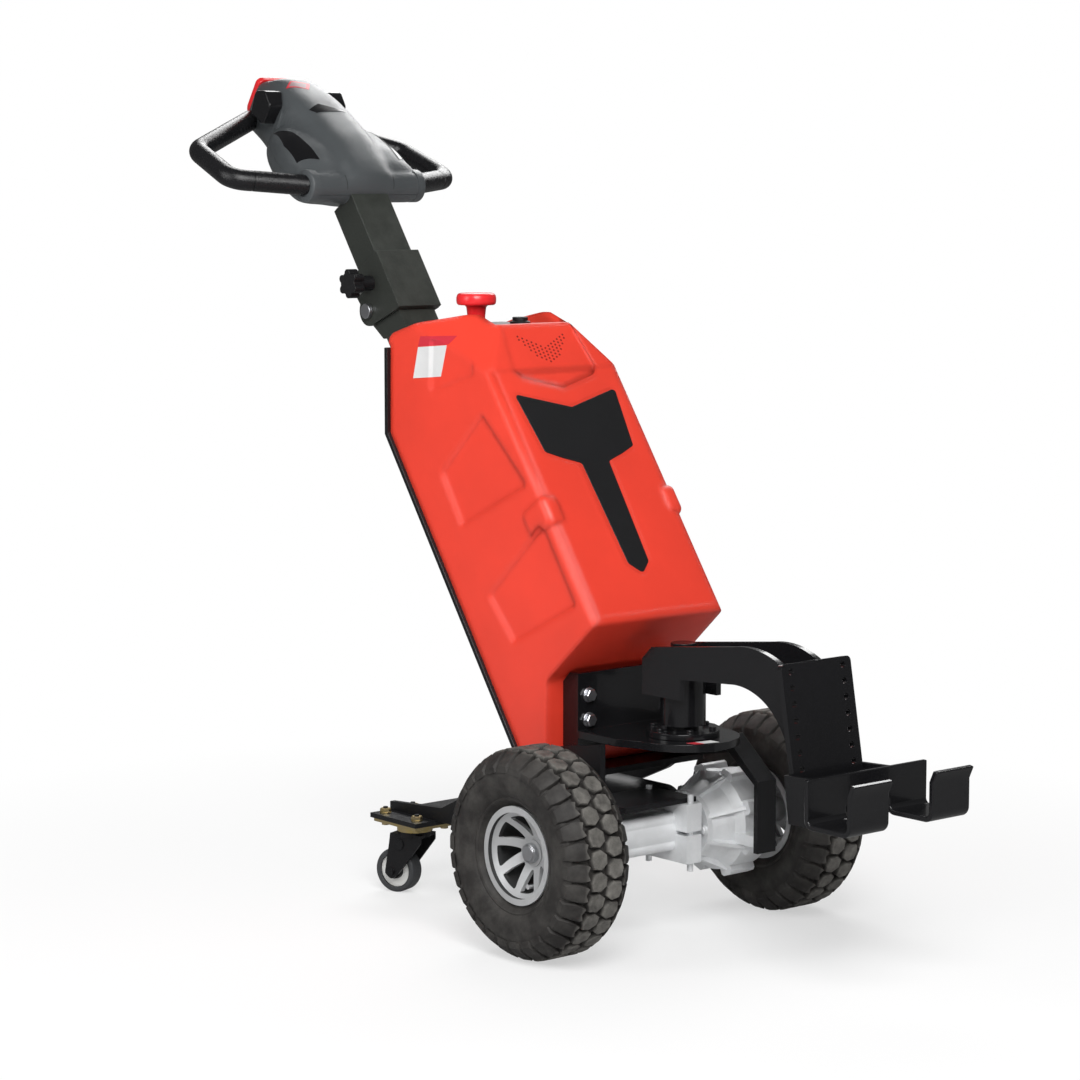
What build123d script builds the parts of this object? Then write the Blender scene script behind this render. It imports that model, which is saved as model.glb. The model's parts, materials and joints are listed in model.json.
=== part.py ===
from build123d import *
from math import cos, pi, radians, sin, tan
import os

# A walk-behind electric tug: two driven pneumatic wheels on a transaxle, two trailing swivel
# casters, a leaning body with its battery, a folding tiller and a swinging hitch with two hooks.
# Millimetres. +X is the hitch end, +Y the left side, +Z up. Sizes are laid out from the middle of
# the drive axle, on the floor; at the end everything moves along X to centre the whole machine.

# Drive wheels
TYRE_R = 165.0
TYRE_W = 125.0
LUGS = 30
GROOVE = 8.0
ROW_END = 30.0
BEAD_R = 74.0
BEAD_HALF = 40.0
TRACK = 511.0
RIM_R = 77.0
RIM_WALL = 5.0
RIM_FACE = 42.0
HUB_R = 21.0
HUB_DEPTH = 30.0
WINDOWS = 8
DISC_T = 8.0
VALVE_R = 50.0
VALVE_ANGLE = 78.0
SHAFT_R = 12.5

# Transaxle
TUBE_R = 33.0
LOBE_R = 11.0
LOBES = 4
TUBE_END = TRACK / 2 - 69.5
SHAFT_SEAT = 60.0
HOUSING_R = 80.0
HOUSING_Y = TUBE_END - 49.0
HOUSING_W = 74.0
FLANGE_Y = HOUSING_Y - 87.0
FLANGE_R = 56.0
HOUSING_BOSSES = 8
BOSS = (12.0, 24.0)
RIB_T = 6.0
FLANGE_BOLT_R = 48.0
MOTOR_R = 48.0
MOTOR_Y = HOUSING_Y - 51.0
MOTOR_LENGTH = 140.0
CLAMP_Y = 18.0
CLAMP_W = 32.0

# Body and spine, laid out in a frame that leans back about the axle line
LEAN = 34.5
SPINE_T = 8.0
SPINE_HALF = 147.0
SPINE_BEND = 935.0
SPINE_TOP_Z = 915.0
COVER_FRONT = 287.0
COVER_FRONT_HALF = 137.0
COVER_BACK_HALF = 141.0
COVER_WALL = 4.0
COVER_EDGE_R = 15.0
COVER_TOP_Z = 970.0
COVER_TOP_R = 10.0
# Knuckle pads on the two front corners.
PAD_BACK = 225.0
PAD_RISE = 3.0
PAD_IN = 29.0
PAD_OUT = 6.0
PAD_SPAN = (598.0, 652.0)
PAD_R = 12.0
CHIN_UP = 420.0
FOOT_Z = 262.0
FOOT_X = -117.0
PANEL_DEPTH = 4.0
PANEL_SLOPE = 55.0
BADGE_T = 2.5
BATTERY = (200.0, 210.0, 270.0)
BATTERY_UP = 430.0
DECK_Z = 953.0
DECK_T = 4.0
DECK_X = (-490.0, -338.0)
DECK_HALF = 76.0
DECK_LIP = 5.0
KNOB_SPOT = (-407.0, -48.0)
KEY_SPOT = (-385.0, 28.0)

# Mast and tiller
MAST_HALF = 38.0
MAST_BACK = -27.0
MAST_FRONT = 31.0
MAST_WALL = 4.0
MAST_FOOT = 760.0
MAST_TOP = 1180.0
FOLD_V = -35.0
FOLD_U = 1197.0
LUG_R = 60.0
LUG_T = 8.0
FOLD_PIN_R = 8.0
SLEEVE_LOW = 1157.0
SLEEVE_TOP = 1271.0
SLEEVE_FRONT = 43.0
SLEEVE_WALL = 6.0
TILLER_HALF = 40.0
TILLER_FRONT = 33.0
TILLER_FOOT = 1262.0
TILLER_TOP = 1398.0
SCREW_V = -2.0
SCREW_U = 1233.0
SCREW_R = 5.0
KNOB_R = 25.0
KNOB_LOBES = 6
KNOB_OUT = 50.0
HEAD_LEAN = 57.0
HEAD_X = -782.0
HEAD_Z = 1144.0
SEAM = 16.0
COLLAR_R = 29.0
COLLAR_HALF = 122.0
COLLAR_UP = 25.0
COLLAR_OUT = 28.0
HEAD_END = 334.0
BUTTON_T = 13.0
GRIP_R = 18.0
GRIP_BEND = 34.0
GRIP_FALL = (0.195, 0.09)

# Casters
CASTER_X = -458.0
CASTER_Y = 142.0
CASTER_TURN = 20.0
CASTER_R = 37.5
CASTER_W = 30.0
CASTER_TRAIL = 32.0
CASTER_TOP = 126.0
CASTER_PLATE = (114.0, 86.0, 6.0)
RACE_R = 30.0
RACE_Z = 108.0
KINGPIN_R = 6.0
FORK_GAP = 5.5
FORK_T = 4.0
PAD_T = 8.0

# Hitch
POST_X = 50.0
POST_R = 25.0
SWIVEL_R = 36.0
NOSE_R = 90.0
STEP_Z = 313.0
STEP_T = 12.0
POST_FLANGE_R = 58.0
POST_FLANGE_T = 10.0
CHEEK_TOP = 466.0
BRACKET_HALF = 106.0
BRACKET_T = 8.0
BRACKET_WEB_X = -80.0
BRACKET_LOW = 296.0
BRACKET_TOP = 417.0
CHEEK_T = 8.0
FACE_LEAN = 10.2
FACE_X = 342.5
FACE_TOP = 480.0
FACE_HALF = 73.0
FACE_T = 10.0
FACE_LENGTH = 232.0
HOLE_ROW_HALF = 55.0
HOLE_PITCH = 24.3
HOLE_TOP = 12.5
HOLE_ROWS = 9
HOLE_R = 5.0
CARRIER_HALF = 84.0
CARRIER_T = 8.0
HOOK_BACK = 446.0
HOOK_FRONT = 540.0
HOOK_T = 8.0
HOOK_LOW = 256.0
HOOK_TOP = 329.0
HOOK_INNER = 46.0
HOOK_OUTER = 126.0

# Clearances: a shaft or pin in its bore, and two pieces that pass face to face
RUN_FIT = 0.05
GAP = 0.3


# Shapes in the machine's own directions

def to_lean(x, z):
    """Where a point of the side view lies in the leaning frame, as (forward, up)."""
    a = radians(LEAN)
    return (x * cos(a) + z * sin(a), z * cos(a) - x * sin(a))


def from_lean(v, u):
    """The side-view point (x, z) of a point in the leaning frame."""
    a = radians(LEAN)
    return (v * cos(a) - u * sin(a), v * sin(a) + u * cos(a))


def foot_x(v):
    """Where a line along the lean, v forward of the spine's back, meets the floor plate's top."""
    a = radians(LEAN)
    return v / cos(a) - FOOT_Z * tan(a)


def bend_z(v):
    """The height at which that line meets the upright part of the spine, v in front of its back."""
    a = radians(LEAN)
    return (v - (from_lean(0.0, SPINE_BEND)[0] + v) * cos(a)) / sin(a)


def leaning(shape):
    """Tip a shape that was laid out upright in the leaning frame to its place."""
    return Rot(0, -LEAN, 0) * shape


def outline(points, radii=0.0):
    """A closed face from corner points, with rounded corners where a radius is given."""
    if radii:
        return make_face(FilletPolyline(*points, radius=radii, close=True))
    return make_face(Polyline(*points, close=True))


def slab(face, y0, y1):
    """A side-view outline, drawn as (x, z), thickened from y0 to y1."""
    return Pos(0, y1, 0) * extrude(Plane.XZ * face, amount=y1 - y0)


def block(x0, x1, y0, y1, z0, z1):
    return Pos((x0 + x1) / 2, (y0 + y1) / 2, (z0 + z1) / 2) * Box(x1 - x0, y1 - y0, z1 - z0)


def rod_x(radius, x0, x1, y=0.0, z=0.0):
    return Pos((x0 + x1) / 2, y, z) * Rot(0, 90, 0) * Cylinder(radius, x1 - x0)


def rod_y(radius, y0, y1, x=0.0, z=0.0):
    return Pos(x, (y0 + y1) / 2, z) * Rot(90, 0, 0) * Cylinder(radius, y1 - y0)


def rod_z(radius, z0, z1, x=0.0, y=0.0):
    return Pos(x, y, (z0 + z1) / 2) * Cylinder(radius, z1 - z0)


def turned(points, radii=0.0):
    """Revolve an outline of (radius, y) points about the Y axis."""
    return revolve(outline(points, radii), Axis.Y)


def mirrored(shape):
    """The same piece on the other side of the machine."""
    return mirror(shape, Plane.XZ)


# Drive wheels, laid out on the left side about their own middle

def tyre():
    """The casing with two rows of blocks on its crown and a row of lugs over each shoulder."""
    half = TYRE_W / 2
    flank = TYRE_R - RIM_R
    crown = TYRE_R - GROOVE
    shoulder = TYRE_R - 0.24 * flank
    # Columns: radius, y, corner radius as a share of the flank.
    side = [
        (BEAD_R, BEAD_HALF, 0.03),
        (RIM_R + 2.0, BEAD_HALF, 0.0),
        (RIM_R + 0.26 * flank, half - 1.5, 0.18),
        (RIM_R + 0.58 * flank, half, 0.20),
        (shoulder, half - 8.5, 0.10),
        (crown, ROW_END, 0.10),
    ]
    profile = [(r, -y, k * flank) for r, y, k in side] + [(r, y, k * flank) for r, y, k in reversed(side)]
    casing = turned([row[:2] for row in profile], [row[2] for row in profile])
    row = slab(toothed(TYRE_R, crown - 3.0, 0.5, 0.8), 1.5, ROW_END)
    other = slab(toothed(TYRE_R, crown - 3.0, 0.0, 0.8), -ROW_END, -1.5)
    start, end = ROW_END + 4.0, half - 1.5
    drop = 0.27 * flank
    lugs = []
    for side_y, phase in ((1.0, 0.0), (-1.0, 0.5)):
        inner = Plane.XZ.offset(-side_y * start) * toothed(TYRE_R - 2.0, crown - 4.0, phase, 0.75)
        outer = Plane.XZ.offset(-side_y * end) * toothed(TYRE_R - drop, crown - drop - 5.0, phase, 0.7)
        lugs.append(loft([inner, outer], ruled=True))
    tread = row + other + lugs - rod_y(RIM_R + 0.4 * flank, -half, half)
    return casing + tread


def toothed(top, root, phase, share):
    """A ring of teeth in side view; phase and share are parts of the pitch between two teeth."""
    points = []
    for i in range(LUGS):
        for radius, place in ((root, -0.5), (top, -0.5), (top, 0.5), (root, 0.5)):
            angle = 2 * pi / LUGS * (i + phase + place * share)
            points.append((radius * cos(angle), radius * sin(angle)))
    return make_face(Polyline(*points, close=True))


def rim():
    inner = RIM_R - RIM_WALL - 5.0
    seat = BEAD_R - GAP
    barrel = turned([
        (inner, -RIM_FACE),
        (RIM_R, -RIM_FACE),
        (RIM_R, -BEAD_HALF - GAP),
        (seat, -BEAD_HALF - GAP),
        (seat, BEAD_HALF + GAP),
        (RIM_R, BEAD_HALF + GAP),
        (RIM_R, RIM_FACE + 3.0),
        (inner, RIM_FACE + 3.0),
    ])
    face = RIM_FACE - HUB_DEPTH
    hub = rod_y(HUB_R, -26.0, face)
    disc = rod_y(inner + 1.0, face - DISC_T - 2.0, face - 2.0)
    window = slab(window_face(), face - DISC_T - 3.0, face)
    disc -= [Rot(0, 360.0 / WINDOWS * i, 0) * window for i in range(WINDOWS)]
    stem = rod_y(4.0, -8.0, RIM_FACE - 12.0, x=VALVE_R)
    foot = rod_x(4.0, VALVE_R, inner + 1.0, y=-4.0)
    valve = Rot(0, VALVE_ANGLE, 0) * (stem + foot)
    return barrel + hub + disc + valve - rod_y(SHAFT_R, -60.0, 60.0)


def window_face():
    """One curved opening of the disc, wider and swept round towards the rim."""
    def at(radius, angle):
        return (radius * cos(radians(angle)), radius * sin(radians(angle)))
    lead = ThreePointArc(at(27.0, 5.0), at(44.0, 19.0), at(60.0, 28.5))
    outer = ThreePointArc(at(60.0, 28.5), at(60.0, 12.0), at(60.0, -4.5))
    trail = ThreePointArc(at(60.0, -4.5), at(44.0, -7.0), at(27.0, -5.0))
    face = make_face([lead, outer, trail, Line(at(27.0, -5.0), at(27.0, 5.0))])
    return fillet(face.vertices(), 2.2)


def axle_shaft():
    """The half shaft: its end turns in the axle tube, a collar stops the hub, a nut holds it."""
    middle = TRACK / 2
    tip = middle + RIM_FACE - HUB_DEPTH
    shaft = rod_y(SHAFT_R, TUBE_END - SHAFT_SEAT, tip + 10.0)
    collar = rod_y(SHAFT_R + 7.0, TUBE_END + 2.0, middle - 26.0)
    nut = rod_y(SHAFT_R + 3.0, tip, tip + 8.0)
    return Pos(0, 0, TYRE_R) * (shaft + collar + nut)


def on_left_wheel(shape):
    return Pos(0, TRACK / 2, TYRE_R) * shape


# Transaxle

def shaft_bore():
    return rod_y(SHAFT_R + RUN_FIT, TUBE_END - SHAFT_SEAT - 1.0, TUBE_END + 1.0)


def axle_tube():
    section = Sketch() + Circle(TUBE_R)
    for i in range(LOBES):
        section += Rot(0, 0, 45.0 + 360.0 / LOBES * i) * Pos(TUBE_R - 5.0, 0) * Circle(LOBE_R)
    tube = slab(section, -TUBE_END, FLANGE_Y)
    end = rod_y(TUBE_R + 12.0, -TUBE_END, -TUBE_END + 10.0)
    return Pos(0, 0, TYRE_R) * (tube + end - mirrored(shaft_bore()))


def gear_housing():
    near = HOUSING_Y - HOUSING_W / 2
    far = HOUSING_Y + HOUSING_W / 2
    bell = turned([
        (0.0, FLANGE_Y),
        (FLANGE_R, FLANGE_Y),
        (FLANGE_R, FLANGE_Y + 10.0),
        (FLANGE_R - 6.0, FLANGE_Y + 10.0),
        (66.0, near),
        (HOUSING_R, near + 10.0),
        (HOUSING_R, far - 8.0),
        (66.0, far),
        (44.0, far),
        (40.0, TUBE_END),
        (0.0, TUBE_END),
    ])
    high, wide = BOSS
    boss = block(HOUSING_R - 8.0, HOUSING_R + high, near + 12.0, far - 10.0, -wide / 2, wide / 2)
    boss = chamfer(boss.edges().filter_by(Axis.Y).group_by(Axis.X)[-1], 4.0)
    web = Polyline((FLANGE_R - 14.0, FLANGE_Y + 6.0), (FLANGE_R - 1.0, FLANGE_Y + 6.0),
                   (HOUSING_R + 5.0, near + 14.0), (HOUSING_R - 14.0, near + 14.0), close=True)
    rib = extrude(make_face(web), amount=RIB_T / 2, both=True)
    bolt = rod_y(5.0, FLANGE_Y - 5.0, FLANGE_Y, x=FLANGE_BOLT_R)
    for i in range(HOUSING_BOSSES):
        bell += Rot(0, 22.5 + 360.0 / HOUSING_BOSSES * i, 0) * (boss + rib)
        bell += Rot(0, 360.0 / HOUSING_BOSSES * i, 0) * bolt
    plug = rod_z(14.0, HOUSING_R - 12.0, HOUSING_R + 2.0, x=0.0, y=near + 16.0)
    lug = block(HOUSING_R - 14.0, HOUSING_R + 30.0, HOUSING_Y - 37.0, HOUSING_Y - 5.0, -26.0, -8.0)
    return Pos(0, 0, TYRE_R) * (bell + plug + lug - shaft_bore())


def drive_motor(housing):
    rear = -74.0 - MOTOR_LENGTH
    body = rod_x(MOTOR_R, rear, -94.0, y=MOTOR_Y, z=TYRE_R)
    neck = rod_x(MOTOR_R - 10.0, -94.0, -40.0, y=MOTOR_Y, z=TYRE_R)
    cap = rod_x(MOTOR_R - 6.0, rear - 12.0, rear, y=MOTOR_Y, z=TYRE_R)
    return body + neck + cap - housing


def axle_clamp(tube):
    """A saddle and a cap round the tube, drawn together by four bolts."""
    y0 = CLAMP_Y - CLAMP_W / 2
    y1 = CLAMP_Y + CLAMP_W / 2
    half = TUBE_R + LOBE_R + 4.0
    body = block(-half - 10.0, half + 10.0, y0, y1, TYRE_R - half, TYRE_R + half)
    split = block(-half - 20.0, half + 20.0, y0 - 1.0, y1 + 1.0, TYRE_R - 3.0, TYRE_R + 3.0)
    clamp = body - split - tube
    for x in (-half - 1.0, half + 1.0):
        clamp += rod_z(5.0, TYRE_R - half - 14.0, TYRE_R + half + 14.0, x=x, y=CLAMP_Y)
    return clamp


# Chassis

def chassis_frame(tube):
    """The floor plate under the body with the near arm that comes down to the axle tube."""
    floor = block(-185.0, -60.0, -SPINE_HALF, SPINE_HALF, FOOT_Z - 10.0, FOOT_Z)
    saddle_z = TYRE_R + 48.0
    arm_face = outline([
        (FOOT_X, FOOT_Z),
        (FOOT_X, BRACKET_LOW),
        (-14.0, STEP_Z),
        (-14.0, saddle_z),
        (-50.0, saddle_z),
        (-80.0, FOOT_Z - 10.0),
    ])
    arm = slab(arm_face, -BRACKET_HALF - 10.0, -BRACKET_HALF)
    far_face = outline([
        (FOOT_X, FOOT_Z),
        (FOOT_X, BRACKET_LOW),
        (30.0, STEP_Z),
        (45.0, STEP_Z),
        (45.0, STEP_Z - 30.0),
        (-60.0, FOOT_Z),
    ])
    far_arm = slab(far_face, BRACKET_HALF, BRACKET_HALF + 10.0)
    saddle = block(-58.0, 45.0, -BRACKET_HALF - 10.0, CLAMP_Y + CLAMP_W / 2, saddle_z, saddle_z + 8.0)
    return floor + arm + far_arm + saddle - tube - clamp_bolt_holes()


def clamp_bolt_holes():
    half = TUBE_R + LOBE_R + 4.0
    holes = []
    for x in (-half - 1.0, half + 1.0):
        holes.append(rod_z(5.0, TYRE_R + half, TYRE_R + half + 20.0, x=x, y=CLAMP_Y))
    return holes


def housing_strap():
    """The bent bar that comes down in front of the gear housing and takes its torque."""
    face = outline([
        (30.0, STEP_Z - 10.0),
        (44.0, STEP_Z - 1.0),
        (122.0, TYRE_R + 82.0),
        (122.0, TYRE_R - 34.0),
        (112.0, TYRE_R - 34.0),
        (112.0, TYRE_R + 76.0),
    ])
    return slab(face, 96.0, BRACKET_HALF) + slab(face, BRACKET_HALF, 136.0)


def rear_carrier():
    """The plate over both casters and the two side bars that hang it from the floor plate."""
    back, front = CASTER_X - 62.0, CASTER_X + 62.0
    inner, outer = CASTER_Y - 47.0, CASTER_Y + 47.0
    plate = block(back, front, -outer, outer, CASTER_TOP, CASTER_TOP + PAD_T)
    plate -= block(back + 70.0, front + 1.0, -inner, inner, CASTER_TOP - 1.0, CASTER_TOP + PAD_T + 1.0)
    top = CASTER_TOP + PAD_T
    length, width = CASTER_PLATE[:2]
    for x in (14.0 - length / 2, length / 2 - 14.0):
        for y in (14.0 - width / 2, width / 2 - 14.0):
            nut = rod_z(7.5, top, top + 7.0, x=CASTER_X + x, y=CASTER_Y + y)
            stud = rod_z(4.0, top, top + 11.0, x=CASTER_X + x, y=CASTER_Y + y)
            plate += nut + stud + mirrored(nut + stud)
    bar_face = outline([
        (-185.0, FOOT_Z - 10.0),
        (-100.0, FOOT_Z - 10.0),
        (-140.0, FOOT_Z - 36.0),
        (-350.0, top),
        (back, top),
        (back, top + 14.0),
        (-380.0, top + 24.0),
    ])
    bar = slab(bar_face, SPINE_HALF - 10.0, SPINE_HALF)
    return plate + bar + mirrored(bar)


def spine_plate():
    """The steel back: a leaning plate that turns upright near its top."""
    bend = from_lean(0.0, SPINE_BEND)
    face = outline([
        (foot_x(0.0), FOOT_Z),
        bend,
        (bend[0], SPINE_TOP_Z),
        (bend[0] + SPINE_T, SPINE_TOP_Z),
        (bend[0] + SPINE_T, bend_z(SPINE_T)),
        (foot_x(SPINE_T), FOOT_Z),
    ])
    return slab(face, -SPINE_HALF, SPINE_HALF) - mast_channel()


def mast_channel():
    return leaning(block(MAST_BACK - 14.0, MAST_FRONT + 5.0, -MAST_HALF - 5.0, MAST_HALF + 5.0,
                         MAST_FOOT - 20.0, MAST_TOP + 100.0))


# Red cover

def cover_profile():
    bend = from_lean(0.0, SPINE_BEND)
    back = bend[0] + SPINE_T + GAP
    points = [
        to_lean(foot_x(SPINE_T), FOOT_Z),
        to_lean(FOOT_X, FOOT_Z),
        (132.9, 400.1),
        (COVER_FRONT, CHIN_UP),
        (COVER_FRONT, 700.0),
        (COVER_FRONT, 984.0),
        to_lean(-385.0, COVER_TOP_Z + 3.0),
        to_lean(-466.0, COVER_TOP_Z - 13.0),
        to_lean(back - 12.0, COVER_TOP_Z - 33.0),
        to_lean(back - 12.0, SPINE_TOP_Z + GAP),
        to_lean(back, SPINE_TOP_Z + GAP),
        to_lean(back, bend_z(SPINE_T) + GAP),
    ]
    return points


def cover_body(points, front_half, back_half, front, back):
    """A side outline carried across, trimmed by the plan of the body."""
    section = outline([
        (back - 40.0, -back_half),
        (front, -front_half),
        (front, front_half),
        (back - 40.0, back_half),
    ], [0, COVER_EDGE_R, COVER_EDGE_R, 0])
    column = Pos(0, 0, 200.0) * extrude(section, amount=1000.0)
    radii = [0, 6, 10, 10, 0, 24, 80, 60, 20, 0, 0, 0]
    return slab(outline(points, radii), -200.0, 200.0) & column


def cover():
    points = cover_profile()
    outer = cover_body(points, COVER_FRONT_HALF, COVER_BACK_HALF, COVER_FRONT, SPINE_T)
    outer = fillet(outer.edges().filter_by(is_shoulder_edge), COVER_TOP_R)
    for side in (1, -1):
        outer -= shoulder_cut(side)
    pad = block(PAD_BACK, COVER_FRONT + PAD_RISE, COVER_FRONT_HALF - PAD_IN, COVER_FRONT_HALF + PAD_OUT, *PAD_SPAN)
    pad = fillet(pad.edges(), PAD_R)
    outer += pad + mirrored(pad)
    shell = leaning(outer)
    shell -= cover_cavity() + mast_channel() + deck_pocket() + front_recess() + badge_plate()
    for panel in side_panels():
        shell -= leaning(panel)
        shell -= leaning(mirrored(panel))
    return shell


def is_shoulder_edge(edge):
    """True for the long edges between the cover's sides and its top."""
    middle = edge.center()
    along = abs(edge.tangent_at(0.5).X) > 0.8
    return along and middle.Z > COVER_FRONT + 715.0 and abs(middle.Y) > COVER_FRONT_HALF - 20.0


def front_recess():
    """The shallow six-sided recess over the badge that holds the speaker holes."""
    right = [(0, 842), (76, 865), (87, 878), (70, 990)]
    points = right + [(-y, u) for y, u in reversed(right[1:])]
    front = Plane(origin=(COVER_FRONT + 5.0, 0, 0), x_dir=(0, 1, 0), z_dir=(1, 0, 0))
    return leaning(extrude(front * outline(points), amount=-BADGE_T - 5.0))


def shoulder_cut(side):
    """The slanted flat that narrows the front face below its top corners."""
    low = Vector(COVER_FRONT, side * 127.0, 884.0)
    high = Vector(COVER_FRONT, side * 82.0, 950.0)
    rear = Vector(205.0, side * 136.0, 985.0)
    normal = (high - low).cross(rear - low).normalized()
    if normal.Z < 0:
        normal = -normal
    return Plane(origin=low, z_dir=normal) * Box(600, 600, 300, align=(Align.CENTER, Align.CENTER, Align.MIN))


def cover_cavity():
    """The battery space, open to the spine at the back."""
    front = COVER_FRONT - COVER_WALL
    face = outline([
        (SPINE_T - 1.0, 340.0),
        (100.0, 365.0),
        (128.0, CHIN_UP),
        (front, CHIN_UP + 6.0),
        (front, 880.0),
        (200.0, 900.0),
        (SPINE_T - 1.0, 900.0),
    ])
    half = COVER_FRONT_HALF - COVER_WALL - PANEL_DEPTH
    return leaning(slab(face, -half, half))


def deck_pocket():
    """The seat of the deck plate and the low front lip before it."""
    seat = block(DECK_X[0], DECK_X[1], -DECK_HALF, DECK_HALF, DECK_Z - DECK_T, DECK_Z + 60.0)
    lip = block(DECK_X[1] - 1.0, DECK_X[1] + 60.0, -DECK_HALF, DECK_HALF, DECK_Z + DECK_LIP, DECK_Z + 60.0)
    return seat + lip


def side_panels():
    """Cutters for the recesses in the near side, each as deep as the panel."""
    run = Vector(COVER_FRONT - SPINE_T + 40.0, COVER_BACK_HALF - COVER_FRONT_HALF, 0).normalized()
    origin = Vector(SPINE_T - 40.0, -COVER_BACK_HALF, 0)
    wall = Plane(origin=origin, x_dir=run, z_dir=run.cross(Vector(0, 0, 1)))
    # Corners of each recess as (forward, up) in the leaning frame.
    quads = [
        [(84, 811), (81, 708), (266, 679), (232, 838)],
        [(77, 585), (90, 487), (262, 463), (264, 615)],
        [(132, 933), (185, 1006), (226, 992), (268, 925), (246, 896)],
    ]
    cutters = []
    for quad in quads:
        face = outline([(v - SPINE_T + 40.0, u) for v, u in quad], 10.0)
        cutter = extrude(wall * face, amount=-PANEL_DEPTH, taper=PANEL_SLOPE)
        cutters.append(cutter + extrude(wall * face, amount=20.0))
    return cutters


def badge_plate():
    """The black Y-shaped plate let into the front face."""
    half = [(0, 806), (107, 836), (94, 727), (64, 714), (29, 702), (22, 517), (0, 497)]
    points = half + [(-y, u) for y, u in reversed(half[1:-1])]
    face = outline([(y, u) for y, u in points], [0, 6, 6, 10, 6, 8, 8, 8, 6, 10, 6, 6])
    front = Plane(origin=(COVER_FRONT + 0.5, 0, 0), x_dir=(0, 1, 0), z_dir=(1, 0, 0))
    return leaning(extrude(front * face, amount=-BADGE_T))


def battery():
    depth, width, height = BATTERY
    return leaning(block(SPINE_T, SPINE_T + depth, -width / 2, width / 2, BATTERY_UP, BATTERY_UP + height))


def top_deck():
    return block(DECK_X[0] + GAP, DECK_X[1] - GAP, -DECK_HALF + GAP, DECK_HALF - GAP, DECK_Z - DECK_T, DECK_Z)


def emergency_knob():
    """A mushroom knob: a flared stem under a low domed cap."""
    stem = Line((0, 0), (14.0, 0))
    flare = ThreePointArc((14.0, 0), (15.0, 20.0), (20.0, 34.0))
    under = Line((20.0, 34.0), (31.0, 36.0))
    rim = ThreePointArc((31.0, 36.0), (33.0, 40.0), (30.0, 45.0))
    dome = ThreePointArc((30.0, 45.0), (16.0, 51.5), (3.0, 54.0))
    crown = Polyline((3.0, 54.0), (0, 54.0), (0, 0))
    half = make_face([stem, flare, under, rim, dome, crown])
    return Pos(*KNOB_SPOT, DECK_Z) * revolve(Plane.XZ * half, Axis.Z)


def key_switch():
    x, y = KEY_SPOT
    base = rod_z(17.0, DECK_Z, DECK_Z + 6.0, x=x, y=y)
    cap = rod_z(13.0, DECK_Z + 6.0, DECK_Z + 13.0, x=x, y=y)
    return base + cap


# Mast and tiller, laid out upright in the leaning frame

def mast_stub():
    outer = block(MAST_BACK, MAST_FRONT, -MAST_HALF, MAST_HALF, MAST_FOOT, MAST_TOP)
    bore = block(MAST_BACK + MAST_WALL, MAST_FRONT - MAST_WALL, -MAST_HALF + MAST_WALL,
                 MAST_HALF - MAST_WALL, MAST_FOOT - 1.0, MAST_TOP + 1.0)
    lug = slab(lug_face(), MAST_HALF - LUG_T, MAST_HALF)
    foot = block(SPINE_T, MAST_FRONT, -MAST_HALF - 20.0, MAST_HALF + 20.0, MAST_FOOT - 30.0, MAST_FOOT)
    return leaning(outer - bore + lug + mirrored(lug) + foot)


def lug_face():
    """A quadrant round the fold pin with the slot that the locking screw slides in."""
    reach = Vector(SCREW_V - FOLD_V, SCREW_U - FOLD_U)
    pivot = Pos(FOLD_V, FOLD_U)
    low = MAST_TOP - 40.0 - FOLD_U
    wedge = outline([(0, low), (58.0, low), (58.0, 12.0), (46.0, 40.0), (12.0, 60.0), (-26.0, 60.0), (-20.0, 0)])
    sector = (Circle(LUG_R) & wedge) + Circle(22.0) + outline([(8, low), (8 + 58.0, low), (66.0, -17.0), (0, -8)])
    slot_r = reach.length
    slot = Circle(slot_r + SCREW_R + 0.5) - Circle(slot_r - SCREW_R - 0.5)
    slot = slot & outline([(0, 0), (80.0, 60.0), (20.0, 90.0), (-30.0, 90.0)])
    face = sector - slot - Circle(FOLD_PIN_R + RUN_FIT)
    return pivot * face


def tiller_bracket():
    """The channel that carries the tiller tube: a front plate between two side plates."""
    out = TILLER_HALF + SLEEVE_WALL
    front = block(TILLER_FRONT, SLEEVE_FRONT, -out, out, SLEEVE_LOW, SLEEVE_TOP)
    side_outline = outline([
        (TILLER_FRONT, SLEEVE_LOW),
        (TILLER_FRONT, SLEEVE_TOP),
        (MAST_BACK, SLEEVE_TOP),
        (MAST_BACK - 4.0, SCREW_U),
        (FOLD_V - 25.0, FOLD_U + 4.0),
        (FOLD_V, FOLD_U - 26.0),
    ])
    side_outline += Pos(FOLD_V, FOLD_U) * Circle(26.0)
    side_outline -= Pos(FOLD_V, FOLD_U) * Circle(FOLD_PIN_R)
    side = slab(side_outline, TILLER_HALF, out)
    near = mirrored(side) - rod_y(SCREW_R, -out - 1.0, -TILLER_HALF + 1.0, x=SCREW_V, z=SCREW_U)
    return leaning(front + side + near)


def tiller_tube():
    outer = block(MAST_BACK, TILLER_FRONT, -TILLER_HALF, TILLER_HALF, TILLER_FOOT, TILLER_TOP)
    bore = block(MAST_BACK + MAST_WALL, TILLER_FRONT - MAST_WALL, -TILLER_HALF + MAST_WALL,
                 TILLER_HALF - MAST_WALL, TILLER_FOOT - 1.0, TILLER_TOP - 8.0)
    return leaning(outer - bore)


def fold_pin():
    out = TILLER_HALF + SLEEVE_WALL
    pin = rod_y(FOLD_PIN_R, -out, out, x=FOLD_V, z=FOLD_U)
    heads = [rod_y(13.0, -out - 8.0, -out, x=FOLD_V, z=FOLD_U), rod_y(13.0, out, out + 8.0, x=FOLD_V, z=FOLD_U)]
    return leaning(pin + heads)


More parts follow.
